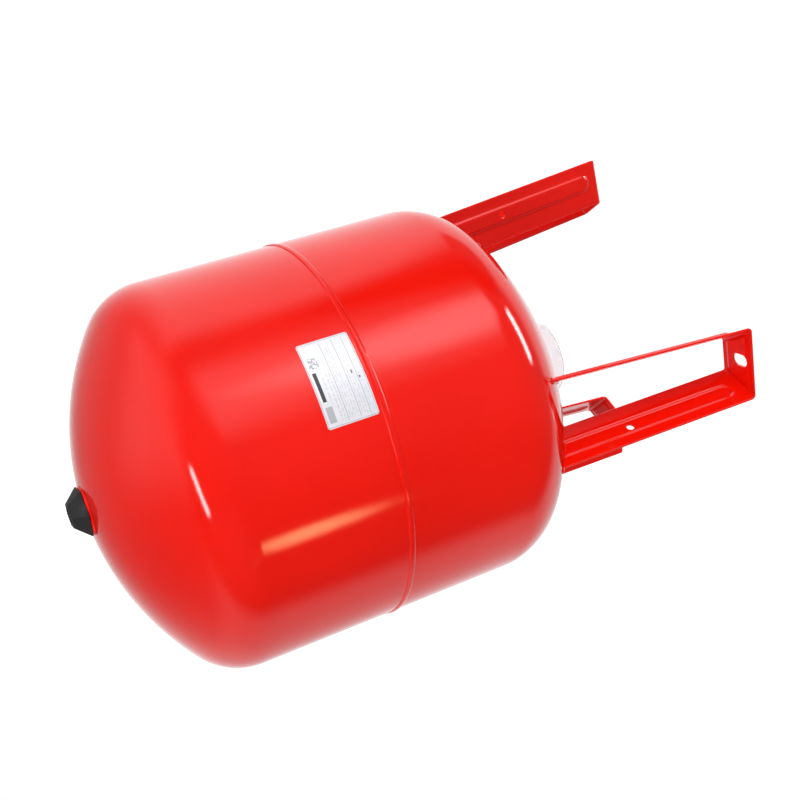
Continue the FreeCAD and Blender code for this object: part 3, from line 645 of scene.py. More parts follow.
def pathMesh(name, points):
    # a closed loop of edges
    mesh = bpy.data.meshes.new(name)
    edges = [(n, (n + 1) % len(points)) for n in range(len(points))]
    mesh.from_pydata([tuple(p) for p in points], edges, [])
    return mesh


def weldBead(name, sizes, points):
    # a painted weld laid along a closed loop of points
    return runTree(name, beadTree, {
        "Half Width": sizes["halfOut"], "Rise": sizes["halfUp"], "Spacing": sizes["spacing"],
        "Ripple": sizes["ripple"], "Ripple Scale": sizes["rippleScale"], "Sides": sizes["sides"],
        "Material": weldEnamel}, pathMesh("weldPath", points))


shell = {
    "halfGap": 1 * mm,
    "upperHole": 23.0 * mm,
    "lowerHole": 5.3 * mm,
    "segments": 288,
}


def makeShells():
    wall = vessel["wall"]
    for name, upward, hole in (("upper_shell", True, shell["upperHole"]),
                               ("lower_shell", False, shell["lowerHole"])):
        edge = vessel["seam"] + (shell["halfGap"] if upward else -shell["halfGap"])
        outer = [(vessel["radius"], edge)] + domeProfile(0.0, upward, hole)
        inner = [(vessel["radius"] - wall, edge)] + domeProfile(wall, upward, hole, 12, 14)
        piece = turnedPiece(name + "_skin", outer + inner[::-1], redEnamel, shell["segments"])
        finishPiece(piece, "vessel", "red_enamel", name)


seam = {
    "halfOut": 1.5 * mm,
    "halfUp": 3.5 * mm,
    "sink": 0.1 * mm,
    "spacing": 2.2 * mm,
    "ripple": 0.16,
    "rippleScale": 55.0,
    "sides": 16,
}


def makeSeam():
    bead = weldBead("seam_bead", seam, ringPoints(vessel["radius"] - seam["sink"], vessel["seam"], 540))
    finishPiece(bead, "vessel", "red_enamel", "seam_weld")


print("shells")
makeShells()
makeSeam()


connection = {
    "outer": 23.0 * mm,
    "boreRoot": 12.7 * mm,
    "pitch": 1.814 * mm,
    "socketRound": 0.8 * mm,
    "plugCorner": 25.8 * mm,
    "plugTip": 12.6 * mm,
    "plugTurn": -20.8,
    "plugRim": 1.2 * mm,
    "plugEdge": 0.9 * mm,
    "dish": 1.6 * mm,
    "shank": 11.95 * mm,
    "shankLength": 6.9 * mm,
    "shankBore": 10.0 * mm,
    "sealInner": 13.0 * mm,
    "sealOuter": 19.0 * mm,
}
socketWeld = {
    "halfOut": 1.6 * mm,
    "halfUp": 0.9 * mm,
    "gap": 0.4 * mm,
    "drop": 1.0 * mm,
    "spacing": 0.8 * mm,
    "ripple": 0.22,
    "rippleScale": 260.0,
    "sides": 14,
}


def makeSocket():
    low, high = heights("connection_socket")
    outline = roundCorners([
        (connection["boreRoot"], low), (connection["outer"], low),
        (connection["outer"], high), (connection["boreRoot"], high),
    ], connection["socketRound"])
    body = turnedPiece("connection_socket_body", outline, redEnamel, 128)
    turns = math.floor((high - low - 2.4 * mm) / connection["pitch"])
    thread = runTree("socketThread", coilTree, {
        "Radius": connection["boreRoot"] + 0.16 * mm, "Pitch": connection["pitch"], "Turns": float(turns),
        "Section": 0.72 * mm, "Start": low + 1.2 * mm, "Steps": 72, "Sides": 8, "Material": zincSteel})
    joinPieces(body, [thread])
    finishPiece(body, "vessel", "red_enamel", "connection_socket")
    level = heights("socket_weld")[1] - socketWeld["drop"]
    bead = weldBead("socket_bead", socketWeld, ringPoints(connection["outer"] + socketWeld["gap"], level))
    finishPiece(bead, "vessel", "red_enamel", "socket_weld")


def hexagon(radius, height):
    return [polar(radius, math.radians(connection["plugTurn"] + 60 * n), height) for n in range(6)]


def makePlug():
    foot, top = heights("connection_plug")
    base = foot + connection["shankLength"]
    rim = base + connection["plugRim"]
    rings = [
        hexagon(connection["plugCorner"], base),
        hexagon(connection["plugCorner"], rim),
        hexagon(connection["plugTip"], top),
        hexagon(connection["plugTip"] - 3.4 * mm, top),
        hexagon(connection["plugTip"] - 4.2 * mm, top - connection["dish"]),
    ]
    points = [p for ring in rings for p in ring]
    faces = [[5 - n for n in range(6)], [24 + n for n in range(6)]]
    for low in range(0, 24, 6):
        faces += bridge(range(low, low + 6), range(low + 6, low + 12))
    head = addPiece("plugHead", points, faces, plugRubber, 60.0)
    bevel = head.modifiers.new("edges", "BEVEL")
    bevel.width = connection["plugEdge"]
    bevel.segments = 4
    bevel.limit_method = "ANGLE"
    bevel.angle_limit = math.radians(18)
    bakeModifiers(head)
    tidyMesh(head, 50.0)
    outline = roundCorners([
        (connection["shankBore"], foot), (connection["shank"] - 0.75 * mm, foot),
        (connection["shank"] - 0.75 * mm, base + 0.4 * mm), (connection["shankBore"], base + 0.4 * mm),
    ], 0.5 * mm)
    shank = turnedPiece("plugShank", outline, plugRubber, 96)
    turns = math.floor((connection["shankLength"] - 3.2 * mm) / connection["pitch"])
    thread = runTree("plugThread", coilTree, {
        "Radius": connection["shank"] - 0.72 * mm, "Pitch": connection["pitch"], "Turns": float(turns),
        "Section": 0.70 * mm, "Start": foot + 1.2 * mm, "Steps": 72, "Sides": 8, "Material": plugRubber})
    plug = joinPieces(head, [shank, thread])
    plug.name = "screw_plug"
    finishPiece(plug, "connection_plug", "black_plastic", "connection_plug")


def makePlugSeal():
    low, high = heights("plug_seal")
    inner, outer = connection["sealInner"], connection["sealOuter"]
    outline = roundCorners([(inner, low), (outer, low), (outer, high), (inner, high)], 0.6 * mm)
    ring = turnedPiece("sealing_ring", outline, sealRubber, 96)
    finishPiece(ring, "plug_seal", "black_rubber", "plug_seal")


print("water connection")
makeSocket()
makePlug()
makePlugSeal()


leg = {
    "inner": 142.0 * mm,
    "run": 44.0 * mm,
    "halfInner": 19.0 * mm,
    "halfOuter": 38.5 * mm,
    "rise": 240.0 * mm,
    "lean": 20.8 * mm,
    "spread": 9.0 * mm,
    "thick": 2.5 * mm,
    "bend": 5.0 * mm,
    "edgeRound": 0.7 * mm,
    "ribShare": 0.56,
    "ribHalf": 10.0 * mm,
    "ribDepth": 2.0 * mm,
    "ribSlope": 3.4 * mm,
    "ribStart": 13.0 * mm,
    "ribEnd": 260.0 * mm,
    "panelDepth": 1.0 * mm,
    "panelShares": (0.14, 0.90),
    "panelGap": 0.5 * mm,
    "panelSlope": 3.0 * mm,
    "holeShare": 0.57,
    "holeRadius": 4.0 * mm,
    "holeHeight": 133.0 * mm,
    "slotLength": 21.0 * mm,
    "slotWidth": 13.0 * mm,
    "slotPlace": 168.5 * mm,
    "rootInset": 0.4 * mm,
    "turns": (-90.0, 30.0, 150.0),
}
legWeld = {
    "halfOut": 2.1 * mm,
    "halfUp": 2.1 * mm,
    "gap": 0.6 * mm,
    "margin": 0.8 * mm,
    "spacing": 1.1 * mm,
    "ripple": 0.45,
    "rippleScale": 240.0,
    "sides": 10,
}


def limbPoint(share, height, side):
    # a point on a limb's outer face before it is pressed
    rise = height / leg["rise"]
    across = leg["inner"] + leg["run"] * share - leg["lean"] * rise
    half = leg["halfInner"] + (leg["halfOuter"] - leg["halfInner"]) * share + leg["spread"] * rise
    return np.array((across, side * half, height))


def limbRoot(share, side):
    # the height at which the limb meets the dome
    low, high = 60 * mm, 260 * mm
    for step in range(40):
        middle = (low + high) / 2
        if outsideDome(limbPoint(share, middle, side)) > 0:
            low = middle
        else:
            high = middle
    return low


def stepUp(value):
    value = np.clip(value, 0.0, 1.0)
    return value * value * (3 - 2 * value)


def ribRise(share, height):
    # how far the limb's rib stands out at a place on the limb
    across = (share - leg["ribShare"]) * math.hypot(leg["run"], leg["halfOuter"] - leg["halfInner"])
    first = leg["ribStart"] + leg["ribHalf"]
    last = leg["ribEnd"] - leg["ribHalf"]
    along = height - np.clip(height, first, last)
    away = np.hypot(across, along)
    return leg["ribDepth"] * stepUp((leg["ribHalf"] - away) / leg["ribSlope"])


def footRise(share, across, half):
    # the foot's shallow raised panel, between two flat strips
    first, last = leg["panelShares"]
    inside = np.minimum(share - first, last - share) * leg["run"]
    ends = half - np.abs(across) - leg["bend"] - leg["panelGap"]
    return leg["panelDepth"] * stepUp(np.minimum(inside, ends) / leg["panelSlope"])


def stripPath(share):
    # heights and sides along the strap: down one limb, over the foot, up the other
    half = leg["halfInner"] + (leg["halfOuter"] - leg["halfInner"]) * share
    bend = leg["bend"]
    limbSteps, bendSteps, footSteps = 150, 10, 42
    strip = []
    for side in (-1, 1):
        root = limbRoot(share, side) + leg["rootInset"]
        limb = []
        for step in range(limbSteps + 1):
            height = bend + (root - bend) * (1 - step / limbSteps)
            limb.append((limbPoint(share, height, side), ribRise(share, height)))
        for step in range(1, bendSteps):
            angle = math.pi / 2 * step / bendSteps
            height = bend - bend * math.sin(angle)
            base = limbPoint(share, height, side)
            base[1] -= side * bend * (1 - math.cos(angle))
            limb.append((base, 0.0))
        strip += limb if side < 0 else limb[::-1]
        if side < 0:
            width = half - bend
            for step in range(footSteps + 1):
                across = -width + 2 * width * step / footSteps
                place = np.array((leg["inner"] + leg["run"] * share, across, 0.0))
                strip.append((place, -footRise(share, across, half)))
    points, rises = zip(*strip)
    return np.array(points), np.array(rises)


def stripSurface():
    # the pressed outer face and its normals, as grids of strap length by strap width
    shares = np.linspace(0, 1, 37)
    columns = [stripPath(s) for s in shares]
    base = np.stack([c[0] for c in columns], 1)
    rises = np.stack([c[1] for c in columns], 1)
    along = np.gradient(base, axis=0)
    across = np.gradient(base, axis=1)
    normal = np.cross(along, across)
    normal /= np.linalg.norm(normal, axis=2)[..., None]
    middle = normal[len(normal) // 2, len(shares) // 2]
    normal *= -1 if middle[2] > 0 else 1
    face = base + normal * rises[..., None]
    return shares, face, normal, across


def makeStrap():
    # a closed loop round the strap's section at each step along it
    shares, face, normal, across = stripSurface()
    across = across / np.linalg.norm(across, axis=2)[..., None]
    edge = leg["edgeRound"]
    thick = leg["thick"]
    rows = len(face)
    last = len(shares) - 1
    curve = [math.pi / 2 * n / 3 for n in range(4)]
    points = []
    for row in range(rows):
        def place(column, offset, depth):
            return face[row, column] + across[row, column] * offset - normal[row, column] * depth

        loop = [face[row, column] for column in range(1, last)]
        for angle in curve:
            loop.append(place(last, edge * (math.sin(angle) - 1), edge * (1 - math.cos(angle))))
        for angle in curve:
            loop.append(place(last, edge * (math.cos(angle) - 1), thick - edge + edge * math.sin(angle)))
        loop += [place(column, 0.0, thick) for column in range(last - 1, 0, -1)]
        for angle in curve:
            loop.append(place(0, edge * (1 - math.sin(angle)), thick - edge * (1 - math.cos(angle))))
        for angle in curve:
            loop.append(place(0, edge * (1 - math.cos(angle)), edge * (1 - math.sin(angle))))
        points.append(loop)
    size = len(points[0])
    flat = [p for loop in points for p in loop]
    faces = []
    for low in range(0, (rows - 1) * size, size):
        faces += bridge(range(low, low + size), range(low + size, low + 2 * size))
    faces.append(list(range(size))[::-1])
    faces.append([(rows - 1) * size + n for n in range(size)])
    return flat, faces


def roundCutter(centre, direction, radius, depth, stretch=0.0, along=(1, 0, 0)):
    # points and faces of a round or stadium-shaped cutter
    direction = Vector(direction).normalized()
    along = Vector(along)
    side = direction.cross(along).normalized()
    points = []
    count = 40
    for level in (-depth, depth):
        for n in range(count):
            angle = fullTurn * n / count
            shift = stretch if math.cos(angle) > 0 else -stretch
            points.append(Vector(centre) + direction * level
                          + along * (math.cos(angle) * radius + shift) + side * math.sin(angle) * radius)
    faces = bridge(range(count), range(count, 2 * count))
    faces += [list(range(count))[::-1], list(range(count, 2 * count))]
    return points, faces


def makeHoleCutter():
    points, faces = [], []
    slot = roundCutter((leg["slotPlace"], 0, 0), (0, 0, 1), leg["slotWidth"] / 2, 12 * mm,
                       (leg["slotLength"] - leg["slotWidth"]) / 2)
    holes = [slot]
    for side in (-1, 1):
        centre = limbPoint(leg["holeShare"], leg["holeHeight"], side)
        up = Vector(limbPoint(leg["holeShare"], leg["holeHeight"] + mm, side) - centre).normalized()
        over = Vector(limbPoint(leg["holeShare"] + 0.1, leg["holeHeight"], side) - centre)
        holes.append(roundCutter(centre, up.cross(over), leg["holeRadius"], 9 * mm, 0.0, up))
    for morePoints, moreFaces in holes:
        shift = len(points)
        points += morePoints
        faces += [[shift + n for n in face] for face in moreFaces]
    return addPiece("holeCutter", points, faces, legEnamel)


def weldLoop(side):
    # a loop on the dome round the foot of one limb
    width = math.hypot(leg["run"], leg["halfOuter"] - leg["halfInner"])
    slope = np.array((leg["halfOuter"] - leg["halfInner"], -side * leg["run"], 0.0)) * -side
    outward = slope / np.linalg.norm(slope)
    loop = []
    steps = 40
    margin = legWeld["margin"] / width
    for n in range(steps + 1):
        share = -margin + (1 + 2 * margin) * n / steps
        loop.append(limbPoint(share, limbRoot(share, side), side) + outward * legWeld["gap"])
    for n in range(steps + 1):
        share = 1 + margin - (1 + 2 * margin) * n / steps
        depth = leg["thick"] + legWeld["gap"]
        inside = limbPoint(share, limbRoot(share, side), side) - outward * depth
        loop.append(settleOnDome(inside))
    return loop


def settleOnDome(point):
    # slides a point up or down until it lies on the dome
    low, high = point[2] - 20 * mm, point[2] + 20 * mm
    for step in range(30):
        middle = (low + high) / 2
        if outsideDome((point[0], point[1], middle)) > 0:
            low = middle
        else:
            high = middle
    return np.array((point[0], point[1], low))


def makeLegs():
    points, faces = makeStrap()
    strap = addPiece("strap", points, faces, legEnamel, 34.0)
    cutter = makeHoleCutter()
    tool = strap.modifiers.new("holes", "BOOLEAN")
    tool.operation = "DIFFERENCE"
    tool.solver = "EXACT"
    tool.object = cutter
    bakeModifiers(strap)
    bpy.data.objects.remove(cutter)
    tidyMesh(strap, 34.0, 1e-7)
    loops = [weldLoop(side) for side in (-1, 1)]
    for number, angle in enumerate(leg["turns"], 1):
        turn = Matrix.Rotation(math.radians(angle), 4, "Z")
        piece = addObject("leg_%d_strap" % number, strap.data.copy())
        piece.data.transform(turn)
        finishPiece(piece, "vessel", "red_enamel", "leg_%d" % number)
        beads = [weldBead("bead", legWeld, [turn @ Vector(p) for p in loop]) for loop in loops]
        bead = joinPieces(beads[0], beads[1:])
        bead.name = "leg_%d_bead" % number
        finishPiece(bead, "vessel", "red_enamel", "leg_%d_welds" % number)
    bpy.data.objects.remove(strap)


print("legs")
makeLegs()


labelSize = {
    "arc": 80.0 * mm,
    "height": 49.0 * mm,
    "start": 6.0 * mm,
    "turn": -55.2,
    "lift": 0.05 * mm,
    "thick": 0.10 * mm,
    "corner": 1.6 * mm,
}


def makeLabel():
    # a thin bent sheet with rounded corners and its own map
    columns, rows = 80, 49
    radius = vessel["radius"] + labelSize["lift"]
    middle = math.radians(labelSize["turn"])
    base = vessel["seam"] + labelSize["start"]
    points, places, faces = [], [], []
    for column in range(columns + 1):
        along = column / columns
        cut = labelSize["corner"]
        ends = min(along, 1 - along) * labelSize["arc"]
        inset = cut - math.sqrt(max(cut * cut - (cut - ends) ** 2, 0.0)) if ends < cut else 0.0
        for row in range(rows + 1):
            height = inset + (labelSize["height"] - 2 * inset) * row / rows
            angle = middle + (along - 0.5) * labelSize["arc"] / vessel["radius"]
            points.append(polar(radius, angle, base + height))
            places.append((along, height / labelSize["height"]))
    for column in range(columns):
        for row in range(rows):
            corner = column * (rows + 1) + row
            faces.append([corner, corner + rows + 1, corner + rows + 2, corner + 1])
    mesh = bpy.data.meshes.new("rating_plate")
    mesh.from_pydata(points, [], faces)
    layer = mesh.uv_layers.new(name="labelMap")
    for loop in mesh.loops:
        layer.data[loop.index].uv = places[loop.vertex_index]
    piece = addObject("rating_plate", mesh)
    mesh.materials.append(labelFoil)
    solid = piece.modifiers.new("thickness", "SOLIDIFY")
    solid.thickness = labelSize["thick"]
    solid.offset = 1.0
    bakeModifiers(piece)
    for face in piece.data.polygons:
        face.use_smooth = True
    finishPiece(piece, "vessel", "label_foil", "rating_label")


print("label")
makeLabel()


finePitch = 0.79375 * mm  # 32 threads to the inch, on the stem's tip and in the cap

cap = {
    "radius": 5.25 * mm,
    "bore": 3.95 * mm,
    "floor": 1.3 * mm,
    "ribs": 22,
    "ribRadius": 0.36 * mm,
}


def makeCap():
    low, high = heights("valve_cap")
    radius, bore, floor = cap["radius"], cap["bore"], low + cap["floor"]
    outline = roundCorners([
        (0.0, low, 0.0), (radius - 0.5 * mm, low, 0.9 * mm), (radius, low + 1.2 * mm, 0.9 * mm),
        (radius, high, 0.3 * mm), (bore, high, 0.3 * mm), (bore, floor, 0.2 * mm), (0.0, floor, 0.0),
    ], 0.3 * mm)
    body = turnedPiece("capBody", outline, capPlastic, 72)
    ribs = runTree("capRibs", ribTree, {
        "Radius": radius - 0.04 * mm, "Count": cap["ribs"], "Rib Radius": cap["ribRadius"],
        "Height": high - low - 3.2 * mm, "Start": low + 1.7 * mm, "Material": capPlastic})
    tidyMesh(ribs, 50.0)
    thread = runTree("capThread", coilTree, {
        "Radius": bore + 0.1 * mm, "Pitch": finePitch, "Turns": 7.0, "Section": 0.16 * mm,
        "Start": low + 5.4 * mm, "Steps": 40, "Sides": 6, "Material": capPlastic})
    whole = joinPieces(body, [ribs, thread])
    whole.name = "knurled_cap"
    finishPiece(whole, "valve_cap", "black_plastic", "valve_cap")


stem = {
    "head": 9.0 * mm,
    "headDepth": 2.5 * mm,
    "wide": 4.75 * mm,
    "thin": 3.6 * mm,
    "bore": 2.6 * mm,
    "tipBore": 2.2 * mm,
    "tipDepth": 12.0 * mm,
    "shoulder": (6.3 * mm, 7.0 * mm),
}


def makeStem():
    # the stem's outer surface, with a wide thread for the nut and a fine one for the cap
    tip, foot = heights("gas_valve_stem")
    under = foot - stem["headDepth"]
    deep = tip + stem["tipDepth"]
    first, last = stem["shoulder"]
    outline = roundCorners([
        (stem["bore"], deep, 0.0), (stem["bore"], foot), (stem["head"], foot), (stem["head"], under),
        (stem["wide"], under), (stem["wide"], bottomApex - first), (stem["thin"], bottomApex - last),
        (stem["thin"], tip), (stem["bore"], tip), (stem["tipBore"], tip + 0.4 * mm),
        (stem["tipBore"], deep, 0.0),
    ], 0.3 * mm)
    body = turnedPiece("stemBody", outline, turnedBrass, 72)
    wide = runTree("stemThread", coilTree, {
        "Radius": 4.74 * mm, "Pitch": 1.0 * mm, "Turns": 8.0, "Section": 0.24 * mm,
        "Start": bottomApex - 5.9 * mm, "Steps": 48, "Sides": 6, "Material": turnedBrass})
    fine = runTree("tipThread", coilTree, {
        "Radius": stem["thin"], "Pitch": finePitch, "Turns": 10.0, "Section": 0.22 * mm,
        "Start": tip + 0.9 * mm, "Steps": 40, "Sides": 6, "Material": turnedBrass})
    whole = joinPieces(body, [wide, fine])
    whole.name = "threaded_stem"
    finishPiece(whole, "vessel", "brass", "gas_valve_stem")


nut = {
    "acrossFlats": 17.0 * mm,
    "bore": 5.0 * mm,
    "chamfer": 0.9 * mm,
    "faceShare": 1.02,
}


def makeNut():
    # hexagon nut with chamfered corners
    half = nut["acrossFlats"] / 2
    low, high = heights("gas_valve_nut")
    count = 72
    levels = [(low, False), (low + nut["chamfer"], True), (high - nut["chamfer"], True), (high, False)]
    points = []
    for height, full in levels:
        for n in range(count):
            angle = fullTurn * n / count
            near = (angle + math.pi / 6) % (math.pi / 3) - math.pi / 6
            flat = half / math.cos(near)
            away = flat if full else min(flat, half * nut["faceShare"])
            points.append(polar(away, angle, height))
    for height in (high, low):
        points += ringPoints(nut["bore"], height, count)
    faces = []
    for level in range(6):
        after = (level + 1) % 6
        faces += bridge(range(level * count, (level + 1) * count), range(after * count, (after + 1) * count))
    piece = addPiece("hexagon_nut", points, faces, zincSteel, 24.0)
    finishPiece(piece, "vessel", "bare_steel", "gas_valve_nut")


cover = {
    "end": 40.0 * mm,
    "outer": 43.0 * mm,
    "wall": 1.2 * mm,
    "hub": 9.9 * mm,
    "hubGap": 1.4 * mm,
}


def makeCover():
    # a thin moulded cup with a stepped end and a hub that grips the nut
    low, rim = heights("gas_valve_cover")
    end, outer, wall, hub = cover["end"], cover["outer"], cover["wall"], cover["hub"]
    hubTop = bottomApex - cover["hubGap"]
    outline = roundCorners([
        (0.0, low + 1.0 * mm, 0.0), (14.0 * mm, low + 1.0 * mm, 0.6 * mm), (15.0 * mm, low, 0.6 * mm),
        (end, low, 4.2 * mm), (outer - 0.5 * mm, rim - 1.6 * mm, 0.2 * mm), (outer, rim - 1.4 * mm, 0.2 * mm),
        (outer, rim, 0.3 * mm), (outer - wall, rim, 0.3 * mm),
        (end - wall, low + wall, 3.0 * mm), (hub + wall, low + wall + 0.6 * mm, 0.5 * mm),
        (hub + wall, hubTop, 0.3 * mm), (hub, hubTop, 0.3 * mm),
        (hub, low + wall + 1.0 * mm, 0.4 * mm), (0.0, low + wall + 1.0 * mm, 0.0),
    ], 0.4 * mm, 4)
    cup = turnedPiece("clear_cover", outline, clearPlastic, 144)
    finishPiece(cup, "valve_cover", "clear_plastic", "gas_valve_cover")


coreSpring = {
    "radius": 0.9 * mm,
    "turns": 4.5,
    "section": 0.14 * mm,
}


def makeCoreSpring():
    low, high = heights("valve_core_spring")
    turns, section = coreSpring["turns"], coreSpring["section"]
    rise = high - low - 2 * section
    spring = runTree("core_coil", coilTree, {
        "Radius": coreSpring["radius"], "Pitch": rise / turns, "Turns": turns, "Section": section,
        "Start": low + section, "Steps": 24, "Sides": 8, "Material": springSteel})
    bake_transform(spring)
    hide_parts("valve_core_spring")


print("gas valve")
makeCap()
makeStem()
makeNut()
makeCover()
makeCoreSpring()


membrane = {
    "gap": 0.4 * mm,
    "wall": 2.0 * mm,
    "rimDepth": 8.0 * mm,
    "rimDrop": 12.5 * mm,
    "pocket": 26.0 * mm,
    "pocketDepth": 11.0 * mm,
    "pocketWall": 1.5 * mm,
    "shoulders": (4 * mm, 6 * mm),
    "rimWidth": 3.5 * mm,
    "reach": 327.5 * mm,
}


def makeMembrane():
    # the rubber bowl against the water side, with a held rim and a pocket under the socket
    outerOffset = vessel["wall"] + membrane["gap"]
    innerOffset = outerOffset + membrane["wall"]
    rimFoot = vessel["seam"] - membrane["rimDrop"]
    rimTop = rimFoot + membrane["rimDepth"]
    floor = topApex - membrane["pocketDepth"]
    outside = domeProfile(outerOffset, True, membrane["pocket"] + membrane["shoulders"][0])
    inside = domeProfile(innerOffset, True, membrane["pocket"] + membrane["shoulders"][1])
    wallSteps = 14
    straight = [(outside[0][0], rimFoot + (upperTangent - rimFoot) * n / wallSteps) for n in range(wallSteps)]
    back = [(inside[0][0], upperTangent - (upperTangent - rimTop) * n / wallSteps)
            for n in range(1, wallSteps + 1)]
    rim = vessel["radius"] - innerOffset - membrane["rimWidth"]
    outline = straight + outside
    outline += [(membrane["pocket"], floor), (0.0, floor), (0.0, floor - membrane["wall"])]
    outline += [(membrane["pocket"] + membrane["pocketWall"], floor - membrane["wall"])]
    outline += inside[::-1] + back + [(rim, rimTop), (rim, rimFoot)]
    bowl = turnedPiece("membrane", outline, membraneRubber, 160)
    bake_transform(bowl)
    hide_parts("diaphragm")


print("diaphragm")
makeMembrane()

carried = {
    "clamp_ring": clampSteel,
    "gas_valve_gasket": sealRubber,
    "gas_valve_washer": zincSteel,
    "valve_core_barrel": turnedBrass,
    "valve_core_ring": sealRubber,
    "valve_core_pin": turnedBrass,
    "valve_core_seal": sealRubber,
    "valve_cap_seal": sealRubber,
}
for node, material in carried.items():
    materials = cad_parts[node].data.materials
    materials.clear()
    materials.append(material)


camera = {
    "place": (0.48629, -1.12285, 0.78590),
    "right": (-0.15627, -0.44382, -0.88239),
    "up": (0.91713, 0.26647, -0.29645),
    "back": (0.36670, -0.85559, 0.36540),
    "lens": 57.09,
}


def makeCamera():
    data = bpy.data.cameras.new("camera")
    data.lens = camera["lens"]
    data.sensor_width = 36.0
    data.clip_start = 0.01
    data.clip_end = 60.0
    eye = addObject("camera", data)
    turn = Matrix((camera["right"], camera["up"], camera["back"])).transposed()
    eye.matrix_world = Matrix.Translation(camera["place"]) @ turn.to_4x4()
    bpy.context.scene.camera = eye


paperFloor = {
    "size": 40.0,
    "drop": 0.3 * mm,
    "shades": ((0.42, 0.42, 0.42), (0.40, 0.40, 0.405)),
    "glow": 0.90,
}


def makeFloor():
    # white paper, clear from below so that the underside can be looked at
    size = paperFloor["size"]
    mesh = bpy.data.meshes.new("floor")
    mesh.from_pydata([(-size, -size, 0), (size, -size, 0), (size, size, 0), (-size, size, 0)], [],
                     [(0, 1, 2, 3)])
    floor = addObject("floor", mesh)
    floor.location.z = -paperFloor["drop"]
    finish = Finish("floorWhite")
    soft = finish.noise(finish.objectPoint(), 3.0, 2.0)
    shade = finish.colours(soft, *paperFloor["shades"])
    paper = finish.node("ShaderNodeBsdfPrincipled", sockets={
        "Base Color": shade, "Roughness": 0.9, "Specular IOR Level": 0.0,
        "Emission Color": (1, 1, 1, 1), "Emission Strength": paperFloor["glow"]})
    under = finish.node("ShaderNodeNewGeometry", output="Backfacing")
    clear = finish.node("ShaderNodeBsdfTransparent")
    both = finish.node("ShaderNodeMixShader", sockets={0: under, 1: paper, 2: clear})
    finish.node("ShaderNodeOutputMaterial", sockets={"Surface": both})
    mesh.materials.append(finish.block)
    floor.visible_glossy = False
    floor.visible_diffuse = False


# all directions here are along the camera's right, up and back
studio = {
    "front": 0.12,
    "frontRise": 0.14,
    "frontSoft": (-0.5, 0.2),
    "rear": 1.0,
    "rearEdge": 0.16,
    "rearSlant": 0.55,
    "rearSoft": (-0.24, 0.10),
    "rearLeast": 0.12,
    "rearFade": (-0.75, -0.20),
    "lowDim": 0.35,
    "lowSoft": (-0.7, -0.3),
    "flagCentre": (0.28, -0.12),
    "flagDim": 0.8,
    "flagEdge": (0.30, 0.44),
    "flagSide": (0.02, 0.16),
    "flagFloor": 0.5,
    # each light: centre on the sky, long axis, half length, half width, soft edge, colour
    "lights": (
        ((0.47, 0.72, 0.50), (0.3, 0.5, -0.8), 0.08, 0.05, 0.20, (2.2, 2.2, 2.25)),
        ((0.31, 0.68, 0.66), (0.6, -0.5, 0.3), 0.16, 0.10, 0.32, (0.78, 0.78, 0.80)),
        ((-0.88, 0.20, 0.30), (0.1, 1.0, 0.1), 0.30, 0.20, 0.40, (0.50, 0.50, 0.50)),
        ((-0.54, -0.33, 0.77), (0.47, -0.87, 0.0), 0.17, 0.02, 0.05, (18.0, 18.0, 18.0)),
        ((0.87, 0.50, 0.0), (-0.5, 0.86, 0.1), 0.17, 0.035, 0.06, (18.0, 18.0, 18.0)),
        ((0.67, -0.57, 0.46), (0.7, 0.65, -0.05), 0.01, 0.015, 0.08, (11.0, 7.4, 3.4)),
        ((0.45, -0.72, 0.49), (0.7, 0.5, -0.05), 0.14, 0.01, 0.05, (0.35, 0.22, 0.1)),
    ),
}


lamps = {
    # direction, strength, softness in degrees
    "keyLamp": ((0.1, 0.7, 0.75), 2.95, 40),
    "fillLamp": ((0.0, -0.75, 0.65), 1.25, 60),
}


def fromCamera(parts):
    # a direction along the camera's right, up and back as a world direction
    names = ("right", "up", "back")
    return sum((Vector(camera[name]) * part for name, part in zip(names, parts)), Vector())


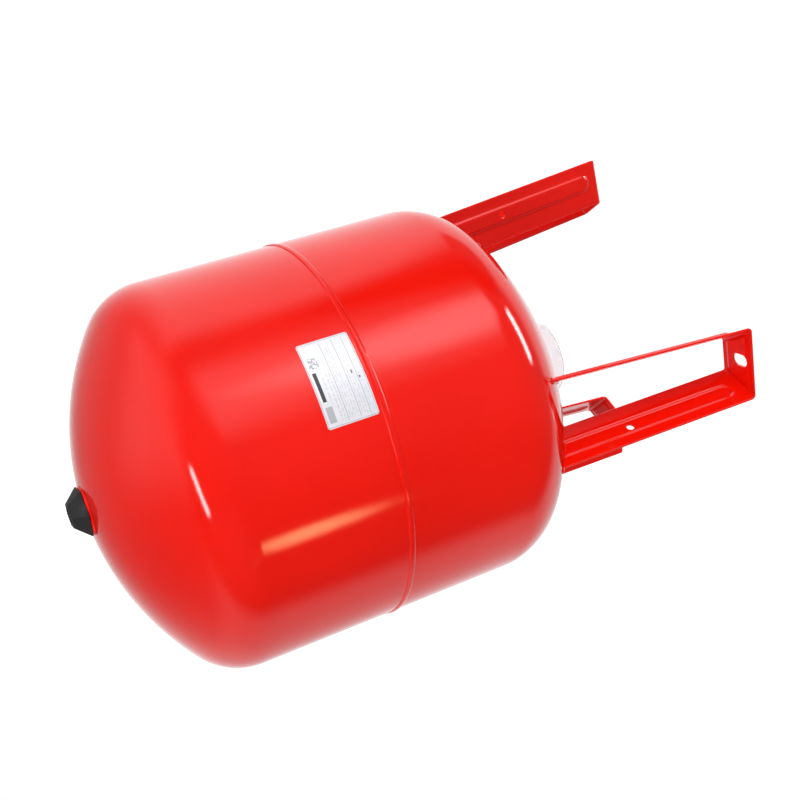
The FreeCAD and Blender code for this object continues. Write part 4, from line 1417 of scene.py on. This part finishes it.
def makeStudio():
    finish = Finish("studio", world=True)
    way = finish.node("ShaderNodeTexCoord", output="Generated")

    def along(direction):
        return finish.node("ShaderNodeVectorMath", {"operation": "DOT_PRODUCT"},
                           {0: way, 1: tuple(direction)}, output="Value")

    right, up, back = (along(camera[name]) for name in ("right", "up", "back"))
    edge = studio["rearEdge"] - studio["rearSlant"] * right
    least = studio["rearLeast"]
    fade = least + (1 - least) * right.ease(*studio["rearFade"])
    rear = (1 - (back - edge).ease(*studio["rearSoft"])) * fade
    sideways = right - studio["flagCentre"][0]
    deep = back - studio["flagCentre"][1]
    flag = 1 - (sideways * sideways + deep * deep).root().ease(*studio["flagEdge"])
    shade = 1 - studio["flagDim"] * (up > studio["flagFloor"]) * right.ease(*studio["flagSide"]) * flag
    front = studio["front"] + studio["frontRise"] * up.ease(*studio["frontSoft"])
    low = 1 - studio["lowDim"] * (1 - up.ease(*studio["lowSoft"]))
    base = (front + rear * low * (studio["rear"] - studio["front"])) * shade
    colour = finish.node("ShaderNodeCombineColor", sockets={0: base, 1: base, 2: base})
    for centre, long, halfLong, halfWide, soft, tint in studio["lights"]:
        middle = Vector(centre).normalized()
        first = Vector(long)
        first = (first - middle * first.dot(middle)).normalized()
        second = middle.cross(first)
        away = [(along(fromCamera(axis)).size() - half).high(0.0)
                for axis, half in ((first, halfLong), (second, halfWide))]
        reach = (away[0] * away[0] + away[1] * away[1]).root()
        mask = (1 - reach.ease(0.0, soft)) * (along(fromCamera(middle)) > 0.0)
        glow = finish.colours(mask, (0.0, 0.0, 0.0), tint)
        colour = finish.node("ShaderNodeVectorMath", {"operation": "ADD"}, {0: colour, 1: glow})
    seen = finish.node("ShaderNodeLightPath", output="Is Camera Ray")
    seen = seen.high(finish.node("ShaderNodeLightPath", output="Is Transmission Ray"))
    colour = finish.colours(seen, colour, (1.0, 1.0, 1.0))
    background = finish.node("ShaderNodeBackground", sockets={"Color": colour, "Strength": 1.0})
    finish.node("ShaderNodeOutputWorld", sockets={"Surface": background})
    bpy.context.scene.world = finish.block


def addSun(name, parts, strength, softness):
    # a broad lamp that lights the colour and leaves no mirror image
    data = bpy.data.lights.new(name, "SUN")
    data.energy = strength
    data.angle = math.radians(softness)
    lamp = addObject(name, data)
    lamp.matrix_world = fromCamera(parts).to_track_quat("Z", "Y").to_matrix().to_4x4()
    lamp.visible_glossy = False


print("studio")
makeCamera()
makeFloor()
makeStudio()
for name, (parts, strength, softness) in lamps.items():
    addSun(name, parts, strength, softness)
bpy.context.scene.view_settings.view_transform = "Standard"
